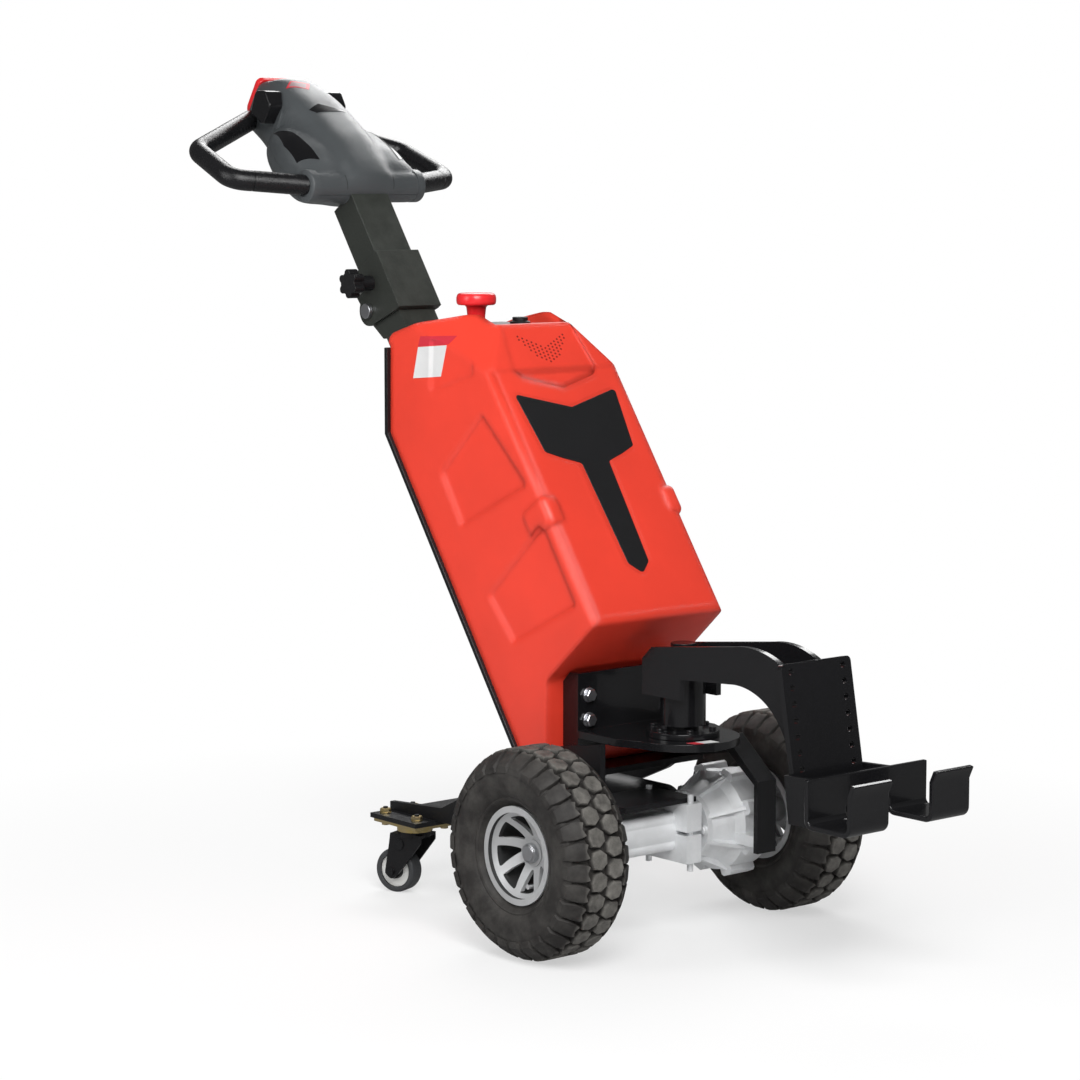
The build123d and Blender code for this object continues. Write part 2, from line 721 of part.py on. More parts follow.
def star_knob():
    """The locking screw with its lobed hand knob, on the right of the mast."""
    out = TILLER_HALF + SLEEVE_WALL
    screw = rod_y(SCREW_R, -out - 1.0, -MAST_HALF + LUG_T, x=SCREW_V, z=SCREW_U)
    boss = rod_y(13.0, -out - 30.0, -out, x=SCREW_V, z=SCREW_U)
    grip_face = Sketch() + Circle(KNOB_R - 6.0)
    for i in range(KNOB_LOBES):
        grip_face += Rot(0, 0, 360.0 / KNOB_LOBES * i) * Pos(KNOB_R - 7.0, 0) * Circle(7.0)
    grip = slab(Pos(SCREW_V, SCREW_U) * grip_face, -out - KNOB_OUT, -out - 30.0)
    return leaning(screw + boss + grip)


def headed(shape):
    """Place a shape laid out in the tiller head's frame: x out of its face, z along it."""
    return Pos(HEAD_X, 0, HEAD_Z) * Rot(0, -HEAD_LEAN, 0) * shape


def head_body():
    # Columns: up the head, half width, back, front, corner radius.
    rows = [
        (0.0, 112.0, -3.0, 54.0, 22.0),
        (50.0, 117.0, -36.0, 68.0, 28.0),
        (110.0, 98.0, -42.0, 84.0, 32.0),
        (200.0, 63.0, -43.0, 92.0, 30.0),
        (280.0, 47.0, -48.0, 87.0, 24.0),
        (HEAD_END, 41.0, -50.0, 50.0, 16.0),
    ]
    sections = []
    for up, half, back, front, corner in rows:
        face = RectangleRounded(front - back, 2 * half, corner)
        sections.append(Pos((front + back) / 2, 0, up) * face)
    body = loft(sections, ruled=True)
    return body + rod_y(COLLAR_R, -COLLAR_HALF, COLLAR_HALF, x=COLLAR_OUT, z=COLLAR_UP)


def head_halves():
    """The head's top and bottom mouldings, parted at the seam and cut for what they carry."""
    tube = Rot(0, HEAD_LEAN, 0) * Pos(-HEAD_X, 0, -HEAD_Z) * leaning(
        block(MAST_BACK, TILLER_FRONT, -TILLER_HALF, TILLER_HALF, TILLER_FOOT, TILLER_TOP))
    body = head_body() - tube - grip_tube() - mirrored(grip_tube())
    top = body & block(SEAM, 200.0, -200.0, 200.0, -50.0, 400.0)
    bottom = body & block(-200.0, SEAM, -200.0, 200.0, -50.0, 400.0)
    return headed(top), headed(bottom)


def grip_tube():
    """One handle loop: out of the collar, round, and back into the side of the head."""
    # Columns: up the head, y. The loop's plane falls away from the head's face as it goes up and out.
    route = [
        (COLLAR_UP, COLLAR_HALF - 12.0),
        (79.0, 235.0),
        (205.0, 225.0),
        (HEAD_END - 16.0, 43.0),
    ]
    up_fall, out_fall = GRIP_FALL
    corners = []
    for up, y in route:
        fall = up_fall * (up - COLLAR_UP) + out_fall * (y - COLLAR_HALF)
        corners.append((COLLAR_OUT - fall, y, up))
    path = FilletPolyline(*corners, radius=GRIP_BEND)
    return sweep(Plane(origin=path @ 0, z_dir=path % 0) * Circle(GRIP_R), path=path)


def belly_button():
    """The reversing button: a padded cap over the whole end of the head."""
    face = outline([(52.0, -41.0), (52.0, 41.0), (-10.0, 41.0), (-56.0, 22.0), (-56.0, -22.0), (-10.0, -41.0)],
                   [12, 12, 24, 12, 12, 24])
    cap = Pos(0, 0, HEAD_END) * extrude(face, amount=BUTTON_T)
    return headed(fillet(cap.edges().group_by(Axis.Z)[-1], 5.0))


def throttle_levers():
    """The two thumb rockers on the head's cheeks."""
    face = outline([(20.0, 232.0), (62.0, 230.0), (76.0, 258.0), (60.0, 284.0), (20.0, 276.0)], 10.0)
    lever = slab(face, 50.0, 84.0)
    lever = fillet(lever.edges().group_by(Axis.Y)[-1], 3.0)
    lever = lever - head_body() - grip_tube()
    return headed(lever + mirrored(lever))


# Casters, laid out about the swivel axis with the wheel trailing to -X

def caster_plate():
    length, width, thick = CASTER_PLATE
    z0 = CASTER_TOP - thick
    plate = block(-length / 2, length / 2, -width / 2, width / 2, z0, CASTER_TOP)
    race = rod_z(RACE_R, RACE_Z, z0)
    pin = rod_z(KINGPIN_R, RACE_Z - 14.0, RACE_Z)
    caster = plate + race + pin
    for x in (14.0 - length / 2, length / 2 - 14.0):
        for y in (14.0 - width / 2, width / 2 - 14.0):
            caster += rod_z(6.5, z0 - 6.0, z0, x=x, y=y)
    return caster


def caster_fork():
    inner = CASTER_W / 2 + FORK_GAP
    outer = inner + FORK_T
    top = RACE_Z - GAP
    crown = rod_z(RACE_R - 2.0, top - 9.0, top) + block(-34.0, 26.0, -outer, outer, top - 9.0, top - 4.0)
    leg_face = outline([
        (26.0, top - 4.0),
        (26.0, top - 17.0),
        (-CASTER_TRAIL + 13.0, CASTER_R - 4.0),
        (-CASTER_TRAIL, CASTER_R - 14.0),
        (-CASTER_TRAIL - 13.0, CASTER_R - 4.0),
        (-36.0, top - 20.0),
        (-34.0, top - 4.0),
    ], [3, 8, 8, 8, 8, 8, 3])
    leg = slab(leg_face, inner, outer)
    rivet = rod_y(9.0, outer, outer + 2.5, x=-16.0, z=top - 22.0)
    axle = rod_y(6.0, -outer - 5.0, outer + 5.0, x=-CASTER_TRAIL, z=CASTER_R)
    fork = crown + leg + mirrored(leg) + rivet + mirrored(rivet) + axle
    return fork - rod_z(KINGPIN_R + RUN_FIT, 60.0, 200.0)


def caster_wheel():
    half = CASTER_W / 2
    ring = turned([
        (CASTER_R - 9.0, -half),
        (CASTER_R, -half),
        (CASTER_R, half),
        (CASTER_R - 9.0, half),
    ], [0, 5, 5, 0])
    return Pos(-CASTER_TRAIL, 0, CASTER_R) * ring


def caster_hub():
    half = CASTER_W / 2
    hub = turned([
        (6.0 + RUN_FIT, -half - 2.0),
        (14.0, -half - 2.0),
        (14.0, -half + 5.0),
        (CASTER_R - 9.0, -half + 5.0),
        (CASTER_R - 9.0, half - 5.0),
        (14.0, half - 5.0),
        (14.0, half + 2.0),
        (6.0 + RUN_FIT, half + 2.0),
    ])
    return Pos(-CASTER_TRAIL, 0, CASTER_R) * hub


def on_caster(shape, side, turned_too=True):
    turn = CASTER_TURN if turned_too else 0.0
    return Pos(CASTER_X, side * CASTER_Y, 0) * Rot(0, 0, turn) * shape


# Hitch

def hitch_bracket():
    """The channel bolted to the lower front of the body, with the stepped plate on its foot."""
    web = block(BRACKET_WEB_X - BRACKET_T, BRACKET_WEB_X, -BRACKET_HALF, BRACKET_HALF, BRACKET_LOW, BRACKET_TOP)
    side_face = outline([
        (FOOT_X, BRACKET_LOW),
        (BRACKET_WEB_X, BRACKET_LOW),
        (BRACKET_WEB_X, BRACKET_TOP),
        (BRACKET_WEB_X - BRACKET_T - 12.0, BRACKET_TOP),
        (FOOT_X, BRACKET_TOP - 16.0),
    ])
    side = slab(side_face, BRACKET_HALF - BRACKET_T, BRACKET_HALF)
    bracket = web + side + mirrored(side)
    plan = outline([(BRACKET_WEB_X, -BRACKET_HALF), (POST_X - 40.0, -BRACKET_HALF),
                    (POST_X, -NOSE_R), (POST_X, NOSE_R), (POST_X - 40.0, BRACKET_HALF),
                    (BRACKET_WEB_X, BRACKET_HALF)])
    plan += Pos(POST_X, 0) * Circle(NOSE_R)
    step = Pos(0, 0, STEP_Z) * extrude(plan, amount=STEP_T)
    for x, z in ((0.0, 381.0), (0.0, 341.0)):
        for y in (-84.0, 84.0):
            bracket += rod_x(8.0, BRACKET_WEB_X, BRACKET_WEB_X + 8.0, y=y, z=z)
    return bracket + step


def king_post():
    base = STEP_Z + STEP_T
    flange = rod_z(POST_FLANGE_R, base, base + POST_FLANGE_T, x=POST_X)
    pin = rod_z(POST_R, base + POST_FLANGE_T, CHEEK_TOP - 4.0, x=POST_X)
    nut = rod_z(POST_R - 5.0, CHEEK_TOP - 4.0, CHEEK_TOP + 6.0, x=POST_X)
    post = flange + pin + nut
    for i in range(6):
        bolt = rod_z(5.5, base + POST_FLANGE_T, base + POST_FLANGE_T + 6.0, x=POST_FLANGE_R - 9.0)
        post += Pos(POST_X, 0, 0) * Rot(0, 0, 30.0 + 60.0 * i) * bolt
    return post


def gooseneck():
    """Two cheeks that arch forward from the swivel tube and come down behind the face plate."""
    base = STEP_Z + STEP_T + POST_FLANGE_T + 8.0
    tube = rod_z(SWIVEL_R, base, CHEEK_TOP - 14.0, x=POST_X)
    bore = rod_z(POST_R + RUN_FIT, base - 1.0, CHEEK_TOP, x=POST_X)
    top = Line((24.0, CHEEK_TOP), (210.0, 488.0))
    crown = ThreePointArc((210.0, 488.0), (283.0, 484.0), (328.0, 462.0))
    rear = [Line((24.0, CHEEK_TOP), (2.0, 446.0)), Line((2.0, 446.0), (2.0, 389.0)),
            Line((2.0, 389.0), (90.0, 389.0)), Line((90.0, 389.0), (90.0, 422.0)),
            Line((90.0, 422.0), (212.0, 430.0))]
    arch = ThreePointArc((212.0, 430.0), (297.0, 396.0), (334.0, 300.0))
    foot_x = face_back_x(300.0)
    front = [Line((334.0, 300.0), (foot_x, 300.0)), Line((foot_x, 300.0), (face_back_x(462.0), 462.0)),
             Line((face_back_x(462.0), 462.0), (328.0, 462.0))]
    cheek_face = make_face([top, crown] + rear + [arch] + front)
    cheek = slab(cheek_face, SWIVEL_R - 2.0, SWIVEL_R + CHEEK_T)
    return tube - bore + cheek + mirrored(cheek)


def face_back_x(z):
    """Where the back of the leaning face plate is at a height."""
    a = radians(FACE_LEAN)
    return FACE_X + (FACE_TOP - z) * sin(a) / cos(a) - FACE_T / cos(a)


def on_face(shape):
    """Place a shape drawn from the face plate's top edge: x out of it, z up it."""
    return Pos(FACE_X, 0, FACE_TOP) * Rot(0, -FACE_LEAN, 0) * shape


def face_plate():
    plate = block(-FACE_T, 0.0, -FACE_HALF, FACE_HALF, -FACE_LENGTH, 0.0)
    plate = fillet(plate.edges().filter_by(Axis.X), 8.0)
    for row in range(HOLE_ROWS):
        for y in (-HOLE_ROW_HALF, HOLE_ROW_HALF):
            plate -= rod_x(HOLE_R, -FACE_T - 1.0, 1.0, y=y, z=-HOLE_TOP - HOLE_PITCH * row)
    return on_face(plate)


def hook_carrier():
    """The channel that bolts the hooks to a pair of holes in the face plate."""
    web_top = -(HOLE_TOP + HOLE_PITCH * 6) - 12.0
    web = on_face(block(GAP, 8.0, -CARRIER_HALF, CARRIER_HALF, -FACE_LENGTH, web_top - 4.0))
    side_face = outline([
        (362.0, 318.0),
        (HOOK_BACK, 322.0),
        (HOOK_BACK, HOOK_LOW + 12.0),
        (414.0, 246.0),
        (372.0, 246.0),
    ])
    side = slab(side_face, CARRIER_HALF - CARRIER_T, CARRIER_HALF)
    bolts = []
    for y in (-HOLE_ROW_HALF, HOLE_ROW_HALF):
        for row in (7, 8):
            z = -HOLE_TOP - HOLE_PITCH * row
            bolts.append(rod_x(HOLE_R, -FACE_T - 8.0, 14.0, y=y, z=z))
    return web + side + mirrored(side) + [on_face(bolt) for bolt in bolts]


def hook_plate():
    """The cross plate with a J-shaped hook at each end."""
    back = block(HOOK_BACK, HOOK_BACK + HOOK_T, -HOOK_OUTER, HOOK_OUTER, HOOK_LOW + 26.0, HOOK_TOP)
    outer = outline([
        (HOOK_BACK, HOOK_TOP),
        (HOOK_BACK, HOOK_LOW),
        (HOOK_FRONT, HOOK_LOW),
        (HOOK_FRONT, HOOK_TOP - 14.0),
        (HOOK_FRONT + 8.0, HOOK_TOP + 4.0),
        (HOOK_FRONT, HOOK_TOP + 6.0),
        (HOOK_FRONT - HOOK_T, HOOK_TOP - 12.0),
        (HOOK_FRONT - HOOK_T, HOOK_LOW + HOOK_T),
        (HOOK_BACK + HOOK_T, HOOK_LOW + HOOK_T),
        (HOOK_BACK + HOOK_T, HOOK_TOP),
    ], [0, 16, 16, 0, 0, 0, 0, 8, 8, 0])
    hook = slab(outer, HOOK_INNER, HOOK_OUTER)
    return back + hook + mirrored(hook)


def build():
    """Every node's name and solid, laid out from the axle."""
    parts = {}
    tube = axle_tube()
    housing = gear_housing()
    parts["chassis_frame"] = chassis_frame(tube)
    parts["housing_strap"] = housing_strap() - chassis_frame(tube)
    parts["rear_carrier"] = rear_carrier()
    parts["spine_plate"] = spine_plate()
    parts["red_cover"] = cover()
    parts["badge_plate"] = badge_plate()
    parts["battery"] = battery()
    parts["top_deck"] = top_deck()
    parts["emergency_knob"] = emergency_knob()
    parts["key_switch"] = key_switch()
    parts["axle_tube"] = tube
    parts["gear_housing"] = housing
    parts["drive_motor"] = drive_motor(housing)
    parts["axle_clamp"] = axle_clamp(tube)
    parts["hitch_bracket"] = hitch_bracket()
    parts["king_post"] = king_post()
    parts["mast_stub"] = mast_stub()
    parts["tiller_bracket"] = tiller_bracket()
    parts["tiller_tube"] = tiller_tube()
    parts["fold_pin"] = fold_pin()
    parts["star_knob"] = star_knob()
    parts["head_top"], parts["head_bottom"] = head_halves()
    grip = headed(grip_tube())
    parts["handle_left"] = grip
    parts["handle_right"] = mirrored(grip)
    parts["belly_button"] = belly_button()
    parts["throttle_levers"] = throttle_levers()
    parts["gooseneck"] = gooseneck()
    parts["face_plate"] = face_plate()
    parts["hook_carrier"] = hook_carrier()
    parts["hook_plate"] = hook_plate()
    wheel = {"tyre": on_left_wheel(tyre()), "rim": on_left_wheel(rim()), "axle_shaft": axle_shaft()}
    for name, shape in wheel.items():
        parts[name + "_left"] = shape
        parts[name + "_right"] = mirrored(shape)
    for side, word in ((1, "left"), (-1, "right")):
        parts["caster_plate_" + word] = on_caster(caster_plate(), side, False)
        parts["caster_fork_" + word] = on_caster(caster_fork(), side)
        parts["caster_tread_" + word] = on_caster(caster_wheel(), side)
        parts["caster_hub_" + word] = on_caster(caster_hub(), side)
    return parts


def main():
    parts = build()
    os.makedirs("parts", exist_ok=True)
    boxes = [shape.bounding_box() for shape in parts.values()]
    low = min(box.min.X for box in boxes)
    high = max(box.max.X for box in boxes)
    shift = -(low + high) / 2
    print("moved along X by", round(shift, 3))
    for name, shape in parts.items():
        export_step(Pos(shift, 0, 0) * shape, "parts/" + name + ".step")


main()
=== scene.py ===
import json
from math import cos, pi, radians, sin, tan

import bmesh
import bpy
from bpy.props import FloatProperty, FloatVectorProperty, IntProperty, PointerProperty
from mathutils import Matrix, Vector
from mathutils.bvhtree import BVHTree

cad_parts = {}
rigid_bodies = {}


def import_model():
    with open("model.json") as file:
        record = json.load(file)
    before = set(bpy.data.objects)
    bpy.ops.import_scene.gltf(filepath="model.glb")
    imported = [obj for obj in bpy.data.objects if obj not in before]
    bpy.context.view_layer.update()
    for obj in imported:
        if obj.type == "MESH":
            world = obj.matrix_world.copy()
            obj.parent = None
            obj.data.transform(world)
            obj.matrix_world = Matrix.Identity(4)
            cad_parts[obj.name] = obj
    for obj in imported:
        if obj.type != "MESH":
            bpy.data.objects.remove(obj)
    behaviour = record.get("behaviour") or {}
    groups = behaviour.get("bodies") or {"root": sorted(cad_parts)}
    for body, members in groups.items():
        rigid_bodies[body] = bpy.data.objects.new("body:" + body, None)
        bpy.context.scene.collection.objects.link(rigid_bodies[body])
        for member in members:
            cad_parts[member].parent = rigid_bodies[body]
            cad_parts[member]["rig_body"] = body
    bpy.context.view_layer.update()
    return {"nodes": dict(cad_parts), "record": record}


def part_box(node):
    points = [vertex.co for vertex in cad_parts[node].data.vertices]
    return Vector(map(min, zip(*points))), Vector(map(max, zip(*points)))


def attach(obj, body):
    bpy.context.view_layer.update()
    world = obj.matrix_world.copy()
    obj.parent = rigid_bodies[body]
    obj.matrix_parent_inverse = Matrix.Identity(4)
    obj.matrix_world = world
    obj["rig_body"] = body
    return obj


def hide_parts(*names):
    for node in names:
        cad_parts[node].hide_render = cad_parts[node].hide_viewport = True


bl_info = {
    "name": "Walk-behind electric tug",
    "version": (1, 0, 0),
    "blender": (4, 5, 0),
    "location": "3D View > Sidebar > Tug",
    "description": "Builds the visible surfaces of a walk-behind electric tug around its solids",
    "category": "Object",
}

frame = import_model()
SIDES = {"left": 1.0, "right": -1.0}
WHITE = (1.0, 1.0, 1.0, 1.0)

# Angles between faces from which an edge stays sharp, and the sides of a round moulding.
SHARP = radians(32)
TREAD_SHARP = radians(28)
PLATE_SHARP = radians(40)
MOULDING_SHARP = radians(50)
ROUND_SIDES = 64


# Places on the machine. Its own directions: X towards the hitch, Y to its left, Z up, in metres.

def centre(node):
    low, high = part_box(node)
    return (low + high) / 2


# How far the body and the tiller head lean back, and how far the head's foot is behind the axle and
# above the floor.
BODY_LEAN = radians(-34.5)
HEAD_LEAN = radians(-57)
HEAD_BACK = 0.782
HEAD_UP = 1.144

AXLE = centre("tyre_left") * Vector((1, 0, 1))
LEAN = Matrix.Translation((AXLE.x, 0, 0)) @ Matrix.Rotation(BODY_LEAN, 4, "Y")
HEAD = Matrix.Translation((AXLE.x - HEAD_BACK, 0, HEAD_UP)) @ Matrix.Rotation(HEAD_LEAN, 4, "Y")


# Sizes and colours

class TugPalette(bpy.types.PropertyGroup):
    red: FloatVectorProperty(
        name="Body red", description="Paint of the cover", subtype="COLOR", size=3,
        min=0, max=1, default=(0.8, 0.05, 0.026))
    signal_red: FloatVectorProperty(
        name="Signal red", description="Stop knob and belly button", subtype="COLOR", size=3,
        min=0, max=1, default=(0.74, 0.02, 0.025))
    black: FloatVectorProperty(
        name="Black", description="Frame, hitch, grips and black mouldings", subtype="COLOR",
        size=3, min=0, max=1, default=(0.008, 0.008, 0.009))
    grey: FloatVectorProperty(
        name="Head grey", description="Mouldings of the tiller head", subtype="COLOR", size=3,
        min=0, max=1, default=(0.07, 0.077, 0.081))
    rubber: FloatVectorProperty(
        name="Tyre rubber", description="Casing and blocks of the drive tyres", subtype="COLOR",
        size=3, min=0, max=1, default=(0.02, 0.018, 0.017))
    dust: FloatVectorProperty(
        name="Tread dust", description="Worn tops of the tread blocks", subtype="COLOR", size=3,
        min=0, max=1, default=(0.23, 0.22, 0.2))
    aluminium: FloatVectorProperty(
        name="Cast aluminium", description="Axle and gear housing", subtype="COLOR", size=3,
        min=0, max=1, default=(0.72, 0.73, 0.74))


class TugTyre(bpy.types.PropertyGroup):
    pitches: IntProperty(
        name="Pitches", description="Repeats of the tread round the tyre", default=30,
        min=8, max=60)
    groove: FloatProperty(
        name="Groove depth", description="From the block tops to the casing", default=0.009,
        min=0.001, max=0.02, unit="LENGTH", subtype="DISTANCE")
    taper: FloatProperty(
        name="Block taper", description="How much wider a block is at its foot", default=1.16,
        min=1.0, max=1.5, subtype="FACTOR")
    segments: IntProperty(
        name="Segments", description="Faces round the casing", default=120, min=24, max=360)


class TugStage(bpy.types.PropertyGroup):
    eye: FloatVectorProperty(
        name="Camera place", description="Measured from the drive axle on the floor",
        subtype="TRANSLATION", size=3, unit="LENGTH", default=(3.5508, -3.2313, 1.2038))
    look: FloatVectorProperty(
        name="View direction", description="Where the camera points", subtype="DIRECTION", size=3,
        default=(-0.7606, 0.6382, -0.1189))
    lens: FloatProperty(
        name="Lens", description="Focal length on a 36 mm sensor", default=102.17, min=20, max=300)
    key_power: FloatProperty(
        name="Key light", description="Power of the large soft light", default=112, min=0, max=2000)
    sky: FloatProperty(
        name="Studio fill", description="Strength of the even light all round", default=0.22,
        min=0, max=5)


# Materials: shader maths written as Python expressions

class Value:
    """A socket of a material's node tree that Python's operators combine into Math nodes."""

    def __init__(self, shading, socket):
        self.shading = shading
        self.socket = socket

    def _math(self, operation, *terms, clamp=False):
        node = self.shading.tree.nodes.new("ShaderNodeMath")
        node.operation = operation
        node.use_clamp = clamp
        for slot, term in zip(node.inputs, terms):
            self.shading.feed(slot, term)
        return Value(self.shading, node.outputs[0])

    def __add__(self, other):
        return self._math("ADD", self, other)

    def __radd__(self, other):
        return self._math("ADD", other, self)

    def __sub__(self, other):
        return self._math("SUBTRACT", self, other)

    def __rsub__(self, other):
        return self._math("SUBTRACT", other, self)

    def __mul__(self, other):
        return self._math("MULTIPLY", self, other)

    def __rmul__(self, other):
        return self._math("MULTIPLY", other, self)

    def __pow__(self, other):
        return self._math("POWER", self, other)

    def ramp(self, low, high):
        """0 at low and under, 1 at high and over."""
        return self._math("DIVIDE", self - low, high - low, clamp=True)


class Shading:
    """A material and the short words that build its nodes."""

    def __init__(self, name, **constant):
        self.material = bpy.data.materials.new(name)
        self.material.use_nodes = True
        self.tree = self.material.node_tree
        self.surface = self.tree.nodes["Principled BSDF"]
        for socket, value in constant.items():
            self.surface.inputs[socket.replace("_", " ")].default_value = value
        self.place = self.node("ShaderNodeTexCoord").outputs["Object"]

    def node(self, kind, **inputs):
        made = self.tree.nodes.new(kind)
        for name, value in inputs.items():
            self.feed(made.inputs[name.replace("_", " ")], value)
        return made

    def feed(self, slot, value):
        if isinstance(value, Value):
            self.tree.links.new(value.socket, slot)
        elif isinstance(value, bpy.types.NodeSocket):
            self.tree.links.new(value, slot)
        else:
            slot.default_value = value

    def noise(self, scale, detail=3.0, roughness=0.5, stretch=None):
        place = self.place
        if stretch:
            place = self.node("ShaderNodeMapping", Vector=place, Scale=stretch).outputs["Vector"]
        made = self.node("ShaderNodeTexNoise", Vector=place, Scale=scale, Detail=detail,
                         Roughness=roughness)
        return Value(self, made.outputs["Fac"])

    def cells(self, scale):
        made = self.node("ShaderNodeTexVoronoi", Vector=self.place, Scale=scale)
        return Value(self, made.outputs["Distance"])

    def axes(self):
        made = self.node("ShaderNodeSeparateXYZ", Vector=self.place)
        return [Value(self, made.outputs[axis]) for axis in "XYZ"]

    def facing_up(self):
        normal = self.node("ShaderNodeNewGeometry").outputs["Normal"]
        made = self.node("ShaderNodeSeparateXYZ", Vector=normal)
        return Value(self, made.outputs["Z"]).ramp(0.2, 1.0)

    def mix(self, share, first, second):
        made = self.tree.nodes.new("ShaderNodeMix")
        made.data_type = "RGBA"
        self.feed(made.inputs[0], share)
        for slot, colour in ((made.inputs[6], first), (made.inputs[7], second)):
            self.feed(slot, (*colour, 1.0) if isinstance(colour, (tuple, list)) else colour)
        return made.outputs[2]

    def set(self, **inputs):
        for name, value in inputs.items():
            self.feed(self.surface.inputs[name.replace("_", " ")], value)
        return self

    def relief(self, height, distance, soft=0.0):
        """Surface grain; a soft radius also eases the light over the edges of a moulding."""
        bump = self.node("ShaderNodeBump", Height=height, Distance=distance, Strength=1.0)
        if soft:
            eased = self.node("ShaderNodeBevel", Radius=soft)
            self.feed(bump.inputs["Normal"], eased.outputs["Normal"])
        self.feed(self.surface.inputs["Normal"], bump.outputs["Normal"])
        return self


def shade(colour, factor):
    return tuple(min(1.0, channel * factor) for channel in colour)


def gloss_paint(name, colour, rough, coat, shine=0.5, soft=0.0):
    look = Shading(name, Coat_Weight=coat, Coat_Roughness=0.06, Specular_IOR_Level=shine)
    cloud = look.noise(6.0, 4.0)
    haze = look.noise(38.0, 6.0, 0.6)
    look.set(Base_Color=look.mix(cloud.ramp(0.35, 0.7), shade(colour, 0.93), shade(colour, 1.04)),
             Roughness=rough + haze * 0.1)
    grain = look.noise(420.0, 2.0) + look.noise(60.0, 2.0) * 0.6
    return look.relief(grain, 0.00012, soft=soft).material


def powder_coat(name, colour, rough):
    look = Shading(name, Specular_IOR_Level=0.3)
    dust = look.facing_up() * look.noise(30.0, 6.0, 0.65).ramp(0.35, 0.8)
    look.set(Base_Color=look.mix(dust, tuple(colour), shade(colour, 2.6)),
             Roughness=rough + look.noise(25.0, 5.0) * 0.16)
    return look.relief(look.noise(1300.0, 3.0) + look.noise(240.0, 2.0) * 0.7, 0.00025).material


def moulded(name, colour, rough, grain=1500.0, depth=0.00018):
    look = Shading(name, Specular_IOR_Level=0.45)
    tone = look.noise(9.0, 4.0).ramp(0.3, 0.75)
    look.set(Base_Color=look.mix(tone, shade(colour, 0.86), shade(colour, 1.12)),
             Roughness=rough + look.noise(70.0, 4.0) * 0.1)
    return look.relief(look.cells(grain), depth).material


def cast_metal(name, colour, rough):
    look = Shading(name, Metallic=0.35)
    stain = look.noise(16.0, 6.0, 0.65).ramp(0.42, 0.72)
    look.set(Base_Color=look.mix(stain, shade(colour, 0.86), tuple(colour)),
             Roughness=rough + look.noise(45.0, 5.0) * 0.14)
    skin = look.noise(650.0, 5.0, 0.7) + look.cells(900.0) * 0.5
    return look.relief(skin, 0.0006).material


def plated(name, colour, rough, tint):
    look = Shading(name, Metallic=1.0)
    bloom = look.noise(34.0, 5.0, 0.7).ramp(0.35, 0.75)
    look.set(Base_Color=look.mix(bloom, tuple(colour), tuple(tint)),
             Roughness=rough + look.noise(90.0, 5.0) * 0.16)
    return look.relief(look.noise(500.0, 3.0, stretch=(1.0, 6.0, 1.0)), 0.00012).material


def tyre_rubber(name, colour, dust, top_radius, groove):
    """Rubber that is dusty where the blocks meet the floor and dark in the grooves."""
    look = Shading(name, Specular_IOR_Level=0.35)
    x, _, z = look.axes()
    out = ((x - AXLE.x) ** 2.0 + (z - AXLE.z) ** 2.0) ** 0.5
    tops = out.ramp(top_radius - groove * 0.6, top_radius)
    worn = tops * look.noise(60.0, 6.0, 0.7).ramp(0.2, 0.75)
    film = look.noise(22.0, 6.0, 0.65).ramp(0.4, 0.8) * 0.45
    share = worn * 0.75 + film * 0.5
    look.set(Base_Color=look.mix(share, tuple(colour), tuple(dust)), Roughness=0.62 + worn * 0.22)
    return look.relief(look.noise(900.0, 4.0) + look.noise(150.0, 3.0) * 0.8, 0.0004).material


# Grain of a moulding that shows almost none: its scale, and its depth in m.
SMOOTH = (300.0, 0.00003)


